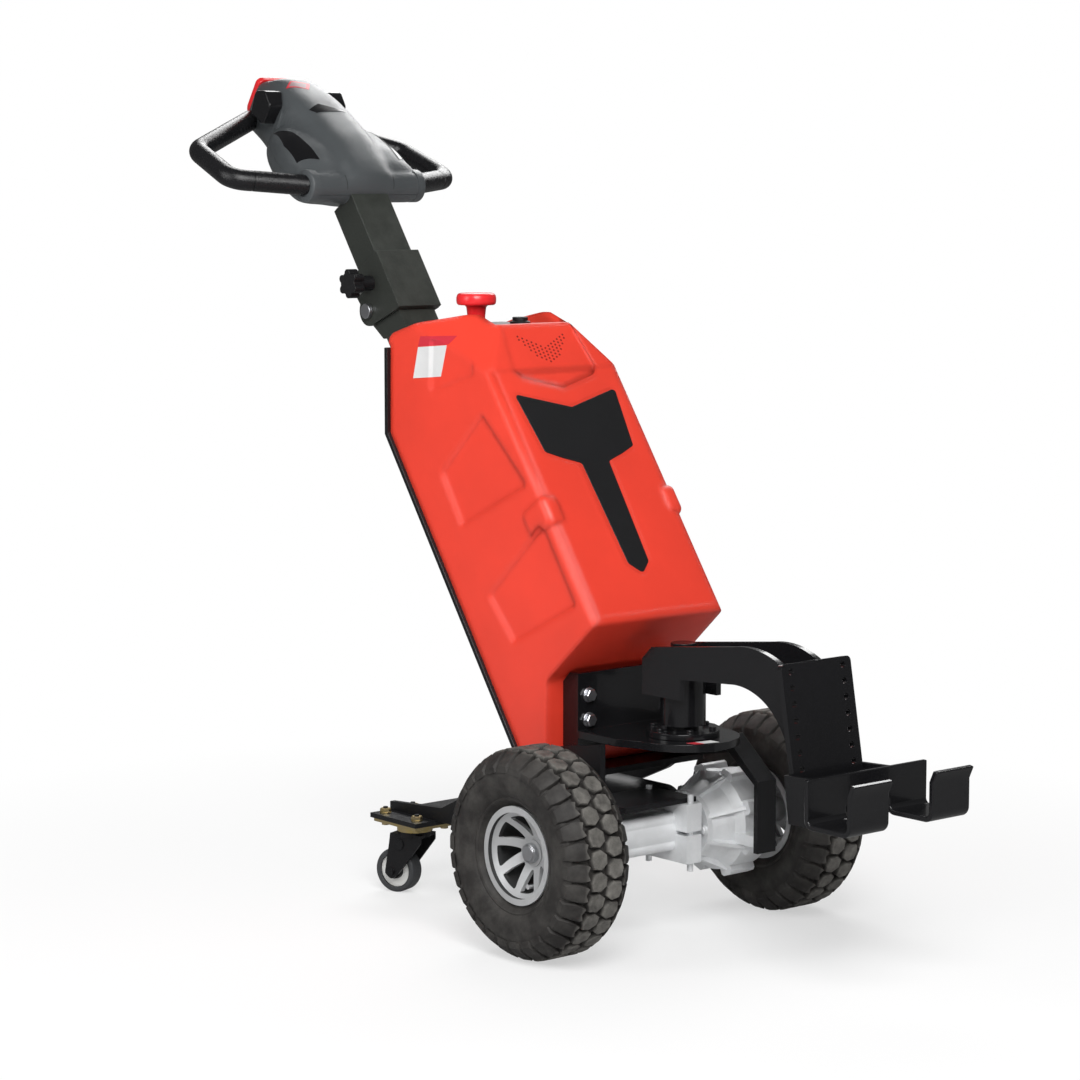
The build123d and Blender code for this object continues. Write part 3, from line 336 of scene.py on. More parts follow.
def make_looks():
    """Every finish, by the name that the pieces ask for."""
    palette = bpy.context.scene.tug_palette
    tread = bpy.context.scene.tug_tyre
    top = (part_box("tyre_left")[1].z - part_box("tyre_left")[0].z) / 2
    return {
        "red_paint": gloss_paint("body red paint", palette.red, 0.3, 0.12, soft=0.016),
        "black_paint": powder_coat("black powder coat", palette.black, 0.26),
        "gloss_black": gloss_paint("gloss black paint", palette.black, 0.16, 0.3, shine=0.3),
        "black_plastic": moulded("black moulding", palette.black, 0.34),
        "grey_plastic": moulded("grey moulding", palette.grey, 0.26),
        "red_plastic": gloss_paint("signal red plastic", palette.signal_red, 0.26, 0.2),
        "grip_rubber": moulded("grip rubber", palette.black, 0.22, 900.0, 0.0002),
        # Partly painted sheen: the mast's dark powder coat is lifted and tinted olive to stand in
        # for the sky's sheen on its faces.
        "mast_coat_and_sheen": powder_coat("mast powder coat and painted sheen", (0.03, 0.033, 0.029), 0.28),
        # Partly painted light: the cast aluminium is lightened to 1.34 times the palette colour to
        # make up for the light that falls short under the body.
        "cast_aluminium": cast_metal("cast aluminium", shade(palette.aluminium, 1.34), 0.26),
        "rim_silver": cast_metal("rim silver", shade(palette.aluminium, 0.78), 0.3),
        # Painted shade: a near-black copy of the aluminium for the rim's inward faces, standing in
        # for the shade inside the wheel.
        "cast_shade": cast_metal("rim painted shade", shade(palette.aluminium, 0.06), 0.6),
        "zinc": plated("bright zinc", (0.6, 0.61, 0.63), 0.3, (0.45, 0.45, 0.48)),
        "yellow_zinc": plated("yellow zinc", (0.72, 0.56, 0.22), 0.24, (0.6, 0.5, 0.36)),
        "tyre_rubber": tyre_rubber("tyre rubber", palette.rubber, palette.dust, top, tread.groove),
        "caster_rubber": moulded("caster tread", (0.045, 0.047, 0.05), 0.4, 500.0, 0.0003),
        "window": moulded("smoked window", (0.006, 0.006, 0.007), 0.12, 300.0, 0.00005),
        "label_white": moulded("blank label", (0.72, 0.72, 0.72), 0.3, *SMOOTH),
        "label_dull": moulded("small label", (0.3, 0.2, 0.21), 0.35, *SMOOTH),
        "label_red": moulded("label header", (0.62, 0.03, 0.05), 0.3, *SMOOTH),
        # Painted shade: dark red-brown discs on the cover stand in for the shade inside the speaker
        # holes.
        "hole_shade": moulded("speaker hole", (0.11, 0.006, 0.005), 0.5, *SMOOTH),
        "white_plastic": moulded("white nylon", (0.72, 0.72, 0.7), 0.35),
        "battery_case": moulded("battery case", (0.05, 0.05, 0.055), 0.4),
    }


LOOKS = {}


# Meshes

# Corners closer than MERGE are one, and faces within FLAT of each other are one. A laid plate's
# points start RUN_UP before their place, and its edge reaches SKIRT into the surface.
MERGE = 0.00002
FLAT = radians(1.0)
RUN_UP = 0.1
SKIRT = 0.001


def new_object(name, mesh, look, body, *nodes):
    """Finish a mesh as a piece of the machine: its look, its body and the nodes it stands for."""
    made = bpy.data.objects.new(name, mesh)
    bpy.context.scene.collection.objects.link(made)
    made.data.materials.clear()
    made.data.materials.append(LOOKS[look])
    if nodes:
        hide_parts(*nodes)
    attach(made, body)
    return made


def mesh_from(name, shape, sharp=SHARP):
    """A smooth mesh whose edges stay sharp where the faces turn by more than the angle."""
    bmesh.ops.recalc_face_normals(shape, faces=shape.faces)
    for face in shape.faces:
        face.smooth = True
    for edge in shape.edges:
        edge.smooth = len(edge.link_faces) == 2 and edge.calc_face_angle(0.0) < sharp
    mesh = bpy.data.meshes.new(name)
    shape.to_mesh(mesh)
    shape.free()
    return mesh


def applied(obj):
    """The object's mesh with its modifiers worked in, as plain data."""
    graph = bpy.context.evaluated_depsgraph_get()
    mesh = bpy.data.meshes.new_from_object(obj.evaluated_get(graph), depsgraph=graph)
    bpy.data.objects.remove(obj)
    return mesh


def rounded(mesh, width, segments):
    """Break the sharp edges of a mesh, as paint and forming do, and keep its flat faces flat."""
    holder = bpy.data.objects.new("holder", mesh)
    bpy.context.scene.collection.objects.link(holder)
    bevel = holder.modifiers.new("bevel", "BEVEL")
    bevel.width = width
    bevel.segments = segments
    bevel.limit_method = "ANGLE"
    bevel.angle_limit = SHARP
    bevel.use_clamp_overlap = True
    bevel.miter_outer = "MITER_ARC"
    even = holder.modifiers.new("even", "WEIGHTED_NORMAL")
    even.keep_sharp = True
    even.weight = 80
    return applied(holder)


def node_copy(node):
    """The node's surface with its triangles joined back into whole faces."""
    shape = bmesh.new()
    shape.from_mesh(frame["nodes"][node].data)
    bmesh.ops.remove_doubles(shape, verts=shape.verts, dist=MERGE)
    bmesh.ops.dissolve_limit(shape, angle_limit=FLAT, verts=shape.verts, edges=shape.edges)
    return shape


def revolved(profile, segments, axis_place, side=1.0):
    """Turn an open profile of (radius, y) points about a wheel's axis."""
    shape = bmesh.new()
    rings = []
    for i in range(segments):
        turn = 2 * pi * i / segments
        ring = [shape.verts.new((axis_place.x + r * cos(turn), axis_place.y + side * y,
                                 axis_place.z + r * sin(turn))) for r, y in profile]
        rings.append(ring)
    for i, ring in enumerate(rings):
        other = rings[(i + 1) % segments]
        for a, b, c, d in zip(ring, ring[1:], other[1:], other):
            shape.faces.new((a, b, c, d))
    return shape


def joined(shape, rings):
    """Join rings of vertices in turn, each one closed."""
    for low, high in zip(rings, rings[1:]):
        for i, corner in enumerate(low):
            j = (i + 1) % len(low)
            shape.faces.new((corner, low[j], high[j], high[i]))


def skinned(shape, rings):
    """Join rings of vertices and cap both ends."""
    joined(shape, rings)
    shape.faces.new(rings[0])
    shape.faces.new(rings[-1])


def bent(corners, radius, steps):
    """A path through corners, each inner one replaced by an arc."""
    path = [corners[0]]
    for before, corner, after in zip(corners, corners[1:], corners[2:]):
        back = (before - corner).normalized()
        on = (after - corner).normalized()
        half = back.angle(on) / 2
        middle = corner + (back + on).normalized() * radius / sin(half)
        first = corner + back * radius / tan(half) - middle
        last = corner + on * radius / tan(half) - middle
        for i in range(steps + 1):
            turn = Matrix.Rotation(first.angle(last) * i / steps, 3, first.cross(last))
            path.append(middle + turn @ first)
    return path + [corners[-1]]


def tube(shape, path, radii, sides):
    """A round bar along a path, with a radius at each point of it."""
    side = (path[1] - path[0]).orthogonal().normalized()
    turns = [2 * pi * k / sides for k in range(sides)]
    rings = []
    for i, (place, radius) in enumerate(zip(path, radii)):
        ahead = (path[min(i + 1, len(path) - 1)] - path[max(i - 1, 0)]).normalized()
        side = (side - ahead * side.dot(ahead)).normalized()
        up = ahead.cross(side)
        spokes = [side * cos(turn) + up * sin(turn) for turn in turns]
        rings.append([shape.verts.new(place + spoke * radius) for spoke in spokes])
    skinned(shape, rings)


def surface_of(mesh):
    """A search tree of the mesh, to drop points onto it."""
    shape = bmesh.new()
    shape.from_mesh(mesh)
    tree = BVHTree.FromBMesh(shape)
    shape.free()
    return tree


def dropped(surface, place, way):
    """Where a point outside the surface lands on it when it moves along a direction."""
    hit = surface.ray_cast(place - way * RUN_UP, way)[0]
    if hit is None:
        raise ValueError("nothing under the point")
    return hit


def laid(shape, surface, corners, way, lift, cells):
    """A thin plate between four corners, dropped onto a surface."""
    across, down = cells
    a, b, c, d = corners
    rows = []
    for i in range(across + 1):
        s = i / across
        edge, other = a.lerp(b, s), d.lerp(c, s)
        hits = [dropped(surface, edge.lerp(other, j / down), way) for j in range(down + 1)]
        rows.append([shape.verts.new(hit - way * lift) for hit in hits])
    for low, high in zip(rows, rows[1:]):
        for j in range(down):
            shape.faces.new((low[j], low[j + 1], high[j + 1], high[j]))
    border = rows[0][:-1] + [row[-1] for row in rows[:-1]]
    border += rows[-1][:0:-1] + [row[0] for row in rows[:0:-1]]
    foot = [shape.verts.new(corner.co + way * (lift + SKIRT)) for corner in border]
    for i, corner in enumerate(border):
        j = (i + 1) % len(border)
        shape.faces.new((corner, border[j], foot[j], foot[i]))


def copies_nodes():
    """Geometry nodes that put a piece at every point, turned as the point's attribute says."""
    tree = bpy.data.node_groups.new("copies of a piece", "GeometryNodeTree")
    sockets = {}
    tree.interface.new_socket("Geometry", in_out="OUTPUT", socket_type="NodeSocketGeometry")
    for name, kind in (("Geometry", "NodeSocketGeometry"), ("Piece", "NodeSocketObject"),
                       ("Finish", "NodeSocketMaterial")):
        sockets[name] = tree.interface.new_socket(name, in_out="INPUT", socket_type=kind).identifier
    given = tree.nodes.new("NodeGroupInput")
    result = tree.nodes.new("NodeGroupOutput")
    piece = tree.nodes.new("GeometryNodeObjectInfo")
    turn = tree.nodes.new("GeometryNodeInputNamedAttribute")
    turn.data_type = "FLOAT_VECTOR"
    turn.inputs["Name"].default_value = "turn"
    place = tree.nodes.new("GeometryNodeInstanceOnPoints")
    real = tree.nodes.new("GeometryNodeRealizeInstances")
    finish = tree.nodes.new("GeometryNodeSetMaterial")
    link = tree.links.new
    link(given.outputs["Piece"], piece.inputs["Object"])
    link(given.outputs["Geometry"], place.inputs["Points"])
    link(piece.outputs["Geometry"], place.inputs["Instance"])
    link(turn.outputs["Attribute"], place.inputs["Rotation"])
    link(place.outputs["Instances"], real.inputs[0])
    link(real.outputs[0], finish.inputs["Geometry"])
    link(given.outputs["Finish"], finish.inputs["Material"])
    link(finish.outputs[0], result.inputs[0])
    return tree, sockets


def copies_of(piece_mesh, places, look):
    """A mesh with a copy of a piece at each place, given as matrices."""
    tree, sockets = copies_nodes()
    points = bpy.data.meshes.new("places")
    points.from_pydata([place.to_translation() for place in places], [], [])
    turns = points.attributes.new("turn", "FLOAT_VECTOR", "POINT")
    for entry, place in zip(turns.data, places):
        entry.vector = place.to_euler()
    source = bpy.data.objects.new("source", piece_mesh)
    holder = bpy.data.objects.new("holder", points)
    for obj in (source, holder):
        bpy.context.scene.collection.objects.link(obj)
    modifier = holder.modifiers.new("copies", "NODES")
    modifier.node_group = tree
    modifier[sockets["Piece"]] = source
    modifier[sockets["Finish"]] = LOOKS[look]
    mesh = applied(holder)
    bpy.data.objects.remove(source)
    bpy.data.node_groups.remove(tree)
    return mesh


# Drive tyres

# The crown's radius, how far out the tread is flat, how it falls from there, and a block's end.
CROWN = 0.165
FLAT_Y = 0.030
FALL_SLOPE = 0.4
FALL_CURVE = 11.0
SHOULDER_Y = 0.0621

# A block's rings above its foot: share of its outline, and depth under its top in m. The foot
# reaches FOOT_DEPTH below the groove.
BLOCK_RINGS = ((1.03, 0.0016), (0.99, 0.0004), (0.93, 0.0))
FOOT_DEPTH = 0.0015


def tread_radius(y):
    """Radius of the block tops across the tread."""
    fall = max(0.0, abs(y) - FLAT_Y)
    return CROWN - FALL_SLOPE * fall - FALL_CURVE * fall ** 2


def casing_profile(groove):
    """Half of the tyre's section from bead to crown, then the other half."""
    half = [
        (0.0742, 0.0398), (0.0785, 0.0405), (0.083, 0.0445), (0.086, 0.0505), (0.0885, 0.0520),
        (0.091, 0.0515), (0.096, 0.0560), (0.106, 0.0597), (0.116, 0.0612), (0.126, 0.0612),
        (0.134, 0.0600), (0.1385, 0.0588), (0.1405, 0.0570), (0.143, 0.0545),
    ]
    crown = [(tread_radius(y) - groove, y) for y in (0.049, 0.042, 0.034, 0.022, 0.010)]
    rising = half + crown
    return [(r, -y) for r, y in rising] + [(r, y) for r, y in reversed(rising)]


# The tread's blocks over one pitch: corners as (y in mm, share of the pitch). The right half of the
# tyre repeats them half a pitch on.
BLOCKS = {
    "centre": [(2.0, 0.30), (13.0, 0.06), (27.0, 0.14), (30.5, 0.50), (27.0, 0.86), (13.0, 0.94),
               (2.0, 0.70)],
    "shoulder": [(33.5, 0.66), (38.0, 0.60), (47.0, 0.57), (58.0, 0.60), (62.2, 0.66),
                 (62.2, 1.30), (58.0, 1.36), (47.0, 1.41), (38.0, 1.34), (33.5, 1.26),
                 (37.0, 0.97)],
}


def tread_block(shape, corners, half_turn, side, spread, groove):
    """One block: foot, wall, broken edge and top."""
    pitch = 2 * pi / bpy.context.scene.tug_tyre.pitches
    points = [(side * y / 1000, (share + half_turn) * pitch) for y, share in corners]
    middle_y = sum(y for y, _ in points) / len(points)
    middle_t = sum(t for _, t in points) / len(points)
    rings = []
    for scale, depth in ((spread, groove + FOOT_DEPTH),) + BLOCK_RINGS:
        ring = []
        for y, t in points:
            across = middle_y + (y - middle_y) * scale
            if abs(across) > SHOULDER_Y:
                across = side * SHOULDER_Y
            turn = middle_t + (t - middle_t) * scale
            out = tread_radius(across) - depth
            ring.append(shape.verts.new((out * cos(turn), across, out * sin(turn))))
        rings.append(ring)
    joined(shape, rings)
    shape.faces.new(rings[-1])


def tread_pitch():
    """The blocks of one pitch, as a mesh round the wheel's own axis."""
    size = bpy.context.scene.tug_tyre
    shape = bmesh.new()
    for side, half_turn in ((1, 0.0), (-1, 0.5)):
        for corners in BLOCKS.values():
            tread_block(shape, corners, half_turn, side, size.taper, size.groove)
    return mesh_from("tread pitch", shape, TREAD_SHARP)


class TUG_OT_tyres(bpy.types.Operator):
    """Build both drive tyres with their block tread"""
    bl_idname = "tug.tyres"
    bl_label = "Drive tyres"

    def execute(self, context):
        size = context.scene.tug_tyre
        for word, side in SIDES.items():
            node = "tyre_" + word
            middle = centre(node)
            pitch = 2 * pi / size.pitches
            turns = [Matrix.Rotation(pitch * i, 4, "Y") for i in range(size.pitches)]
            blocks = copies_of(tread_pitch(), turns, "tyre_rubber")
            blocks.transform(Matrix.Translation(middle) @ Matrix.Scale(side, 4, (0, 1, 0)))
            shape = revolved(casing_profile(size.groove), size.segments, middle)
            shape.from_mesh(blocks)
            bpy.data.meshes.remove(blocks)
            new_object(node + "_tread", mesh_from(node, shape, TREAD_SHARP), "tyre_rubber",
                       "drive_wheel_" + word, node)
        return {"FINISHED"}


# Pieces whose solids have the right shape: a copy with its edges broken

# Node: width of the broken edge in mm, segments.
EDGES = {
    "chassis_frame": (1.2, 2), "housing_strap": (1.5, 2), "rear_carrier": (1.2, 2),
    "spine_plate": (1.2, 2), "red_cover": (3.0, 4), "badge_plate": (0.6, 2), "battery": (2.0, 2),
    "top_deck": (0.5, 1), "key_switch": (1.5, 2), "axle_tube": (1.0, 2),
    "gear_housing": (2.0, 2), "drive_motor": (1.5, 2), "axle_clamp": (1.2, 2),
    "hitch_bracket": (1.2, 2), "king_post": (1.0, 2), "mast_stub": (1.5, 3),
    "tiller_bracket": (1.5, 3), "tiller_tube": (1.5, 3), "fold_pin": (1.0, 2),
    "star_knob": (1.5, 2), "belly_button": (1.5, 2), "throttle_levers": (4.0, 3),
    "gooseneck": (1.2, 2), "face_plate": (0.8, 2), "hook_carrier": (1.2, 2), "hook_plate": (1.5, 2),
}
PAIRED_EDGES = {
    "rim": (1.2, 2), "axle_shaft": (1.0, 2), "caster_plate": (0.8, 2), "caster_fork": (0.6, 2),
    "caster_tread": (0.3, 1), "caster_hub": (0.6, 1),
}
EDGES.update({kind + "_" + word: edge for kind, edge in PAIRED_EDGES.items() for word in SIDES})

# Solids whose finish differs from others of their slot.
OTHER_LOOKS = {
    "axle_clamp": "cast_aluminium", "mast_stub": "mast_coat_and_sheen", "tiller_bracket": "mast_coat_and_sheen",
    "tiller_tube": "mast_coat_and_sheen", "throttle_levers": "gloss_black",
}

# How far a caster hub's dark boss reaches from the middle of the wheel, and from how far off a face
# of the rim that looks at that middle gets painted shade, in m.
BOSS_R = 0.0225
INWARD_SHADE = 0.03

# The rim's disc: its faces' depths, the radii it runs between and its rise to the lip, in m. It
# moves up to DISC_PAST of the way out, and DISC_CURVE is the power of its rise.
DISC_DEPTH = (0.001, 0.011)
DISC_SPAN = (0.024, 0.067)
DISC_RISE = 0.028
DISC_PAST = 1.1
DISC_CURVE = 1.2


def dished_rim(node):
    """The rim with its spokes swept outward from the hub to the lip."""
    shape = bmesh.new()
    shape.from_mesh(frame["nodes"][node].data)
    bmesh.ops.remove_doubles(shape, verts=shape.verts, dist=MERGE)
    middle = centre("tyre_" + node.split("_")[1])
    side = 1.0 if middle.y > 0 else -1.0
    for corner in shape.verts:
        place = corner.co - middle
        radius = (place.x ** 2 + place.z ** 2) ** 0.5
        share = (radius - DISC_SPAN[0]) / (DISC_SPAN[1] - DISC_SPAN[0])
        if DISC_DEPTH[0] < side * place.y < DISC_DEPTH[1] and 0 < share < DISC_PAST:
            corner.co.y += side * DISC_RISE * min(1.0, share) ** DISC_CURVE
    return shape


def slot_of(node):
    for part in frame["record"]["subparts"]:
        if part["node"] == node:
            return part["material_slot"]
    raise KeyError(node)


def body_of(node):
    return frame["nodes"][node]["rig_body"]


def painted(obj, look, chosen):
    """Give a second finish to the faces that a test of their corners and normal picks."""
    obj.data.materials.append(LOOKS[look])
    for face in obj.data.polygons:
        corners = [obj.data.vertices[i].co for i in face.vertices]
        if chosen(corners, face.normal):
            face.material_index = len(obj.data.materials) - 1


# The stop knob from its foot to the flat of its top: shares of its radius and of its height.
KNOB = (
    (0.44, 0.0), (0.45, 0.3), (0.5, 0.56), (0.58, 0.62), (0.9, 0.635), (0.98, 0.68), (1.0, 0.76),
    (1.0, 0.85), (0.97, 0.93), (0.9, 0.98), (0.8, 1.0), (0.62, 0.975), (0.3, 0.965),
)


def knob_shape(node):
    """A thick round cap with a rolled rim on a stem, turned about an upright axis."""
    low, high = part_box(node)
    middle = (low + high) / 2
    radius, height = (high.x - low.x) / 2, high.z - low.z
    profile = [(radius * r, height * z) for r, z in KNOB]
    shape = revolved(profile, ROUND_SIDES, Vector((0, 0, 0)))
    rims = [edge for edge in shape.edges if edge.is_boundary]
    bmesh.ops.holes_fill(shape, edges=rims, sides=ROUND_SIDES)
    upright = Matrix.Rotation(pi / 2, 4, "X")
    shape.transform(Matrix.Translation((middle.x, middle.y, low.z)) @ upright)
    return shape


class TUG_OT_dress(bpy.types.Operator):
    """Give each solid that keeps its shape broken edges and its finish"""
    bl_idname = "tug.dress"
    bl_label = "Broken edges"

    def execute(self, context):
        for node, (width, segments) in EDGES.items():
            slot = slot_of(node)
            shape = dished_rim(node) if node.startswith("rim") else node_copy(node)
            mesh = rounded(mesh_from(node, shape), width / 1000, segments)
            look = OTHER_LOOKS.get(node, slot)
            made = new_object(node + "_piece", mesh, look, body_of(node), node)
            middle = centre(node)
            if node.startswith("rim"):
                # Painted shade on the rim's inward faces, for the shade inside the wheel.
                painted(made, "cast_shade",
                        lambda corners, normal: (corners[0] - middle).dot(normal) < -INWARD_SHADE)
            if node.startswith("caster_hub"):
                painted(made, "black_plastic",
                        lambda corners, _: max((each - middle).length for each in corners) < BOSS_R)
        node = "emergency_knob"
        knob = mesh_from(node, knob_shape(node), MOULDING_SHARP)
        new_object(node + "_turned", knob, "red_plastic", body_of(node), node)
        return {"FINISHED"}


# Tiller head: a long dome between low wings. Its own directions: x out of its face, z up it, in mm.

# Columns: up the head, half width, back, front, squareness of the section.
WINGS = (
    (25, 116, -1.0, 56.6, 7.0), (50, 120, -26, 68, 4.0), (90, 121, -34, 75, 3.2),
    (122, 118, -36, 74, 3.0), (158, 108, -38, 68, 2.9), (187, 95, -38, 55, 2.8),
    (205, 80, -38, 40, 2.8), (222, 60, -38, 24, 2.8),
)
DOME = (
    (-4, 48, 26, 28, 3.2), (2, 50, 6, 48, 3.2), (14, 54, -6, 62, 3.2), (50, 60, -28, 76, 3.2),
    (110, 66, -40, 88, 3.3), (200, 65, -43, 92, 3.3), (280, 48, -48, 86, 3.4),
    (334, 41, -50, 50, 4.0),
)

# The rolled end round the collars: its middle, radius, half width and squareness.
COLLAR = Vector((28, 0, 25))
ROLL_R = 28.6
ROLL_HALF = 116.0
ROLL_SQUARE = 12.0
HEAD_END = 334

# The seam: its depth, the way up in which it comes to it, half its gap, and how far its lip is in
# from the edge.
SEAM = 16.0
SEAM_RUN = 35.0
HALF_GAP = 0.3
LIP = 3.0

# How softly the dome and the wings run together, and how fast that fades towards the edge.
BLEND = 6.0
BLEND_FADE = 6.0

# Steps of a moulding across it, round its rolled end and up from there.
ACROSS_STEPS = 44
ROLL_STEPS = 12
CLIMB_STEPS = 60

# How far before the head's face a plate's corners are, and a plate's cells across and down.
OUTSIDE = 100.0
PLATE_CELLS = (24, 8)


def along(rows, up):
    """The other columns of a table at a place up the head, run smoothly through its rows."""
    up = min(max(up, rows[0][0]), rows[-1][0])
    k = max(i for i in range(len(rows) - 1) if rows[i][0] <= up)
    step = rows[k + 1][0] - rows[k][0]
    t = (up - rows[k][0]) / step
    values = []
    for column in range(1, len(rows[0])):
        slopes = [(b[column] - a[column]) / (b[0] - a[0]) for a, b in zip(rows, rows[1:])]
        slopes = [slopes[0]] + slopes + [slopes[-1]]
        start, end = [0.0 if a * b <= 0 else 2 * a * b / (a + b)
                      for a, b in zip(slopes[k:k + 2], slopes[k + 1:])]
        values.append((2 * t ** 3 - 3 * t ** 2 + 1) * rows[k][column]
                      + (3 * t ** 2 - 2 * t ** 3) * rows[k + 1][column]
                      + (t ** 3 - 2 * t ** 2 + t) * step * start
                      + (t ** 3 - t ** 2) * step * end)
    return values


def bulge(y, half, squareness):
    """How full a section is at y: 1 in the middle, 0 at its edge."""
    share = min(1.0, abs(y) / half)
    return (1 - share ** squareness) ** (1 / squareness)


def blend(a, b, soft):
    """The larger of two depths, run softly into the other where they meet."""
    return (a + b + ((a - b) ** 2 + soft ** 2) ** 0.5) / 2


def head_half(up):
    """Half width of the head at a place up it."""
    return max(along(WINGS, up)[0] if up < WINGS[-1][0] else 0.0, along(DOME, up)[0])


def head_middle(up):
    """Depth of the seam between the two mouldings."""
    t = min(1.0, max(0.0, (up - COLLAR.z) / SEAM_RUN))
    return COLLAR.x + (SEAM - COLLAR.x) * t * t * (3 - 2 * t)


def head_depths(y, up):
    """Back and front of the head at y and a place up it."""
    middle = head_middle(up)
    half, back, front, square = along(WINGS, up)
    if up < COLLAR.z:
        roll = max(0.0, ROLL_R ** 2 - (COLLAR.z - up) ** 2) ** 0.5
        half, back, front, square = ROLL_HALF, COLLAR.x - roll, COLLAR.x + roll, ROLL_SQUARE
    if up >= WINGS[-1][0]:
        half, back, front = 1.0, middle, middle
    wing = bulge(y, half, square)
    dome_half, dome_back, dome_front, dome_square = along(DOME, up)
    dome = bulge(y, dome_half, dome_square)
    fronts = (middle + (front - middle) * wing, middle + (dome_front - middle) * dome)
    backs = (middle - (middle - back) * wing, middle - (middle - dome_back) * dome)
    soft = BLEND * min(1.0, BLEND_FADE * (1 - abs(y) / head_half(up)))
    return -blend(-backs[0], -backs[1], soft), blend(*fronts, soft)


def head_shell(front_side):
    """One of the head's two mouldings as rows of points up the head."""
    shape = bmesh.new()
    rolls = [COLLAR.z - ROLL_R * cos(pi / 2 * i / ROLL_STEPS) for i in range(1, ROLL_STEPS)]
    rise = HEAD_END - COLLAR.z
    climb = [COLLAR.z + rise * i / CLIMB_STEPS for i in range(CLIMB_STEPS + 1)]
    gap = HALF_GAP if front_side else -HALF_GAP
    rows = []
    for up in rolls + climb:
        half = head_half(up)
        lip = head_middle(up) + gap
        row = [(lip, -half + LIP)]
        for k in range(ACROSS_STEPS + 1):
            y = half * sin(pi / 2 * (2 * k / ACROSS_STEPS - 1))
            depth = head_depths(y, up)[1 if front_side else 0] + gap
            row.append((depth, y))
        row.append((lip, half - LIP))
        rows.append([shape.verts.new(HEAD @ (Vector((x, y, up)) / 1000)) for x, y in row])
    for low, high in zip(rows, rows[1:]):
        for k in range(len(low) - 1):
            shape.faces.new((low[k], low[k + 1], high[k + 1], high[k]))
    shape.faces.new(rows[0])
    shape.faces.new(rows[-1])
    return shape


def head_point(up, y, out=OUTSIDE):
    return HEAD @ (Vector((out, y, up)) / 1000)


# Columns: look, lift in mm, the four corners as (up, y).
HEAD_PLATES = (
    ("window", 0.9, ((52, -87), (100, -87), (125, -112), (70, -117))),
    ("window", 0.9, ((100, -87), (146, -87), (184, -94), (125, -112))),
    ("window", 0.9, ((52, 87), (100, 87), (125, 112), (70, 117))),
    ("window", 0.9, ((100, 87), (146, 87), (184, 94), (125, 112))),
    ("gloss_black", 0.5, ((178, -41), (190.5, -16), (167.5, 32), (165, -33))),
    ("label_red", 0.25, ((240, -5), (260, -39), (277, -22), (263, 12))),
    ("label_dull", 0.4, ((245, -9), (261, -34), (272, -22), (262, 3))),
    ("black_plastic", 0.15, ((-2, -50.5), (16, -52.5), (16, -51.5), (-2, -49.5))),
    ("black_plastic", 0.15, ((-2, 50.5), (16, 52.5), (16, 51.5), (-2, 49.5))),
)


# Section of a collar round a grip's end: (radius, y) in m.
COLLAR_RING = (
    (0.010, 0.106), (0.029, 0.106), (0.029, 0.1195), (0.0284, 0.1212), (0.0268, 0.122),
    (0.019, 0.122), (0.0185, 0.120), (0.010, 0.120),
)


class TUG_OT_head(bpy.types.Operator):
    """Build the tiller head with its collars, windows and handle loops"""
    bl_idname = "tug.head"
    bl_label = "Tiller head"

    def execute(self, context):
        body = body_of("head_top")
        top = mesh_from("head_top", head_shell(True), MOULDING_SHARP)
        skin = surface_of(top)
        holder = bmesh.new()
        holder.from_mesh(top)
        bpy.data.meshes.remove(top)
        for side in SIDES.values():
            collar = revolved(COLLAR_RING, ROUND_SIDES, HEAD @ (COLLAR / 1000), side)
            part = bpy.data.meshes.new("collar")
            collar.to_mesh(part)
            collar.free()
            holder.from_mesh(part)
            bpy.data.meshes.remove(part)
        for node, shape in (("head_top", holder), ("head_bottom", head_shell(False))):
            mesh = mesh_from(node, shape, MOULDING_SHARP)
            new_object(node + "_piece", mesh, "grey_plastic", body, node)
        way = HEAD.to_3x3() @ Vector((-1, 0, 0))
        for i, (look, lift, spots) in enumerate(HEAD_PLATES):
            shape = bmesh.new()
            corners = [head_point(up, y) for up, y in spots]
            laid(shape, skin, corners, way, lift / 1000, PLATE_CELLS)
            new_object("head_plate_%d" % i, mesh_from("head_plate", shape, PLATE_SHARP), look, body)
        for word, side in SIDES.items():
            node = "handle_" + word
            shape = bmesh.new()
            handle_loop(shape, side)
            mesh = mesh_from(node, shape, PLATE_SHARP)
            made = new_object(node + "_loop", mesh, "grip_rubber", body, node)
        return {"FINISHED"}


# Corners of a handle loop as (up the head, y) in mm. Its plane falls away from the head's face by
# these shares of the way up and out from the collar's end.
LOOP = ((25, 108), (79, 235), (205, 225), (318, 43))
FALL_UP = 0.195
FALL_OUT = 0.09
COLLAR_END = 122

# The grip's radius and the radius of its bends in m, the steps round a bend and the sides round it.
GRIP_R = 0.018
BEND_R = 0.034
BEND_STEPS = 14
GRIP_SIDES = 40

# The grip's joint line: its place as a share of the first bar, and its rings (step, radius) in m.
JOINT_SHARE = 0.12
JOINT = ((-0.0012, GRIP_R), (-0.0006, 0.0168), (0.0006, 0.0168), (0.0012, GRIP_R))


def handle_loop(shape, side):
    """A grip bar out of the collar, round and back into the head's side, with a joint line."""
    corners = []
    for up, y in LOOP:
        fall = FALL_UP * (up - COLLAR.z) + FALL_OUT * (y - COLLAR_END)
        corners.append(head_point(up, side * y, COLLAR.x - fall))
    path = bent(corners, BEND_R, BEND_STEPS)
    joint = path[1].lerp(path[0], JOINT_SHARE)
    ahead = (path[1] - path[0]).normalized()
    ring = [joint + ahead * step for step, _ in JOINT]
    radii = [GRIP_R] + [radius for _, radius in JOINT] + [GRIP_R] * (len(path) - 1)
    tube(shape, [path[0]] + ring + path[1:], radii, GRIP_SIDES)


# Small things laid on or bolted to the solids, in mm from the drive axle's middle on the floor

def machine(x, y, z):
    return Vector((AXLE.x + x / 1000, y / 1000, z / 1000))


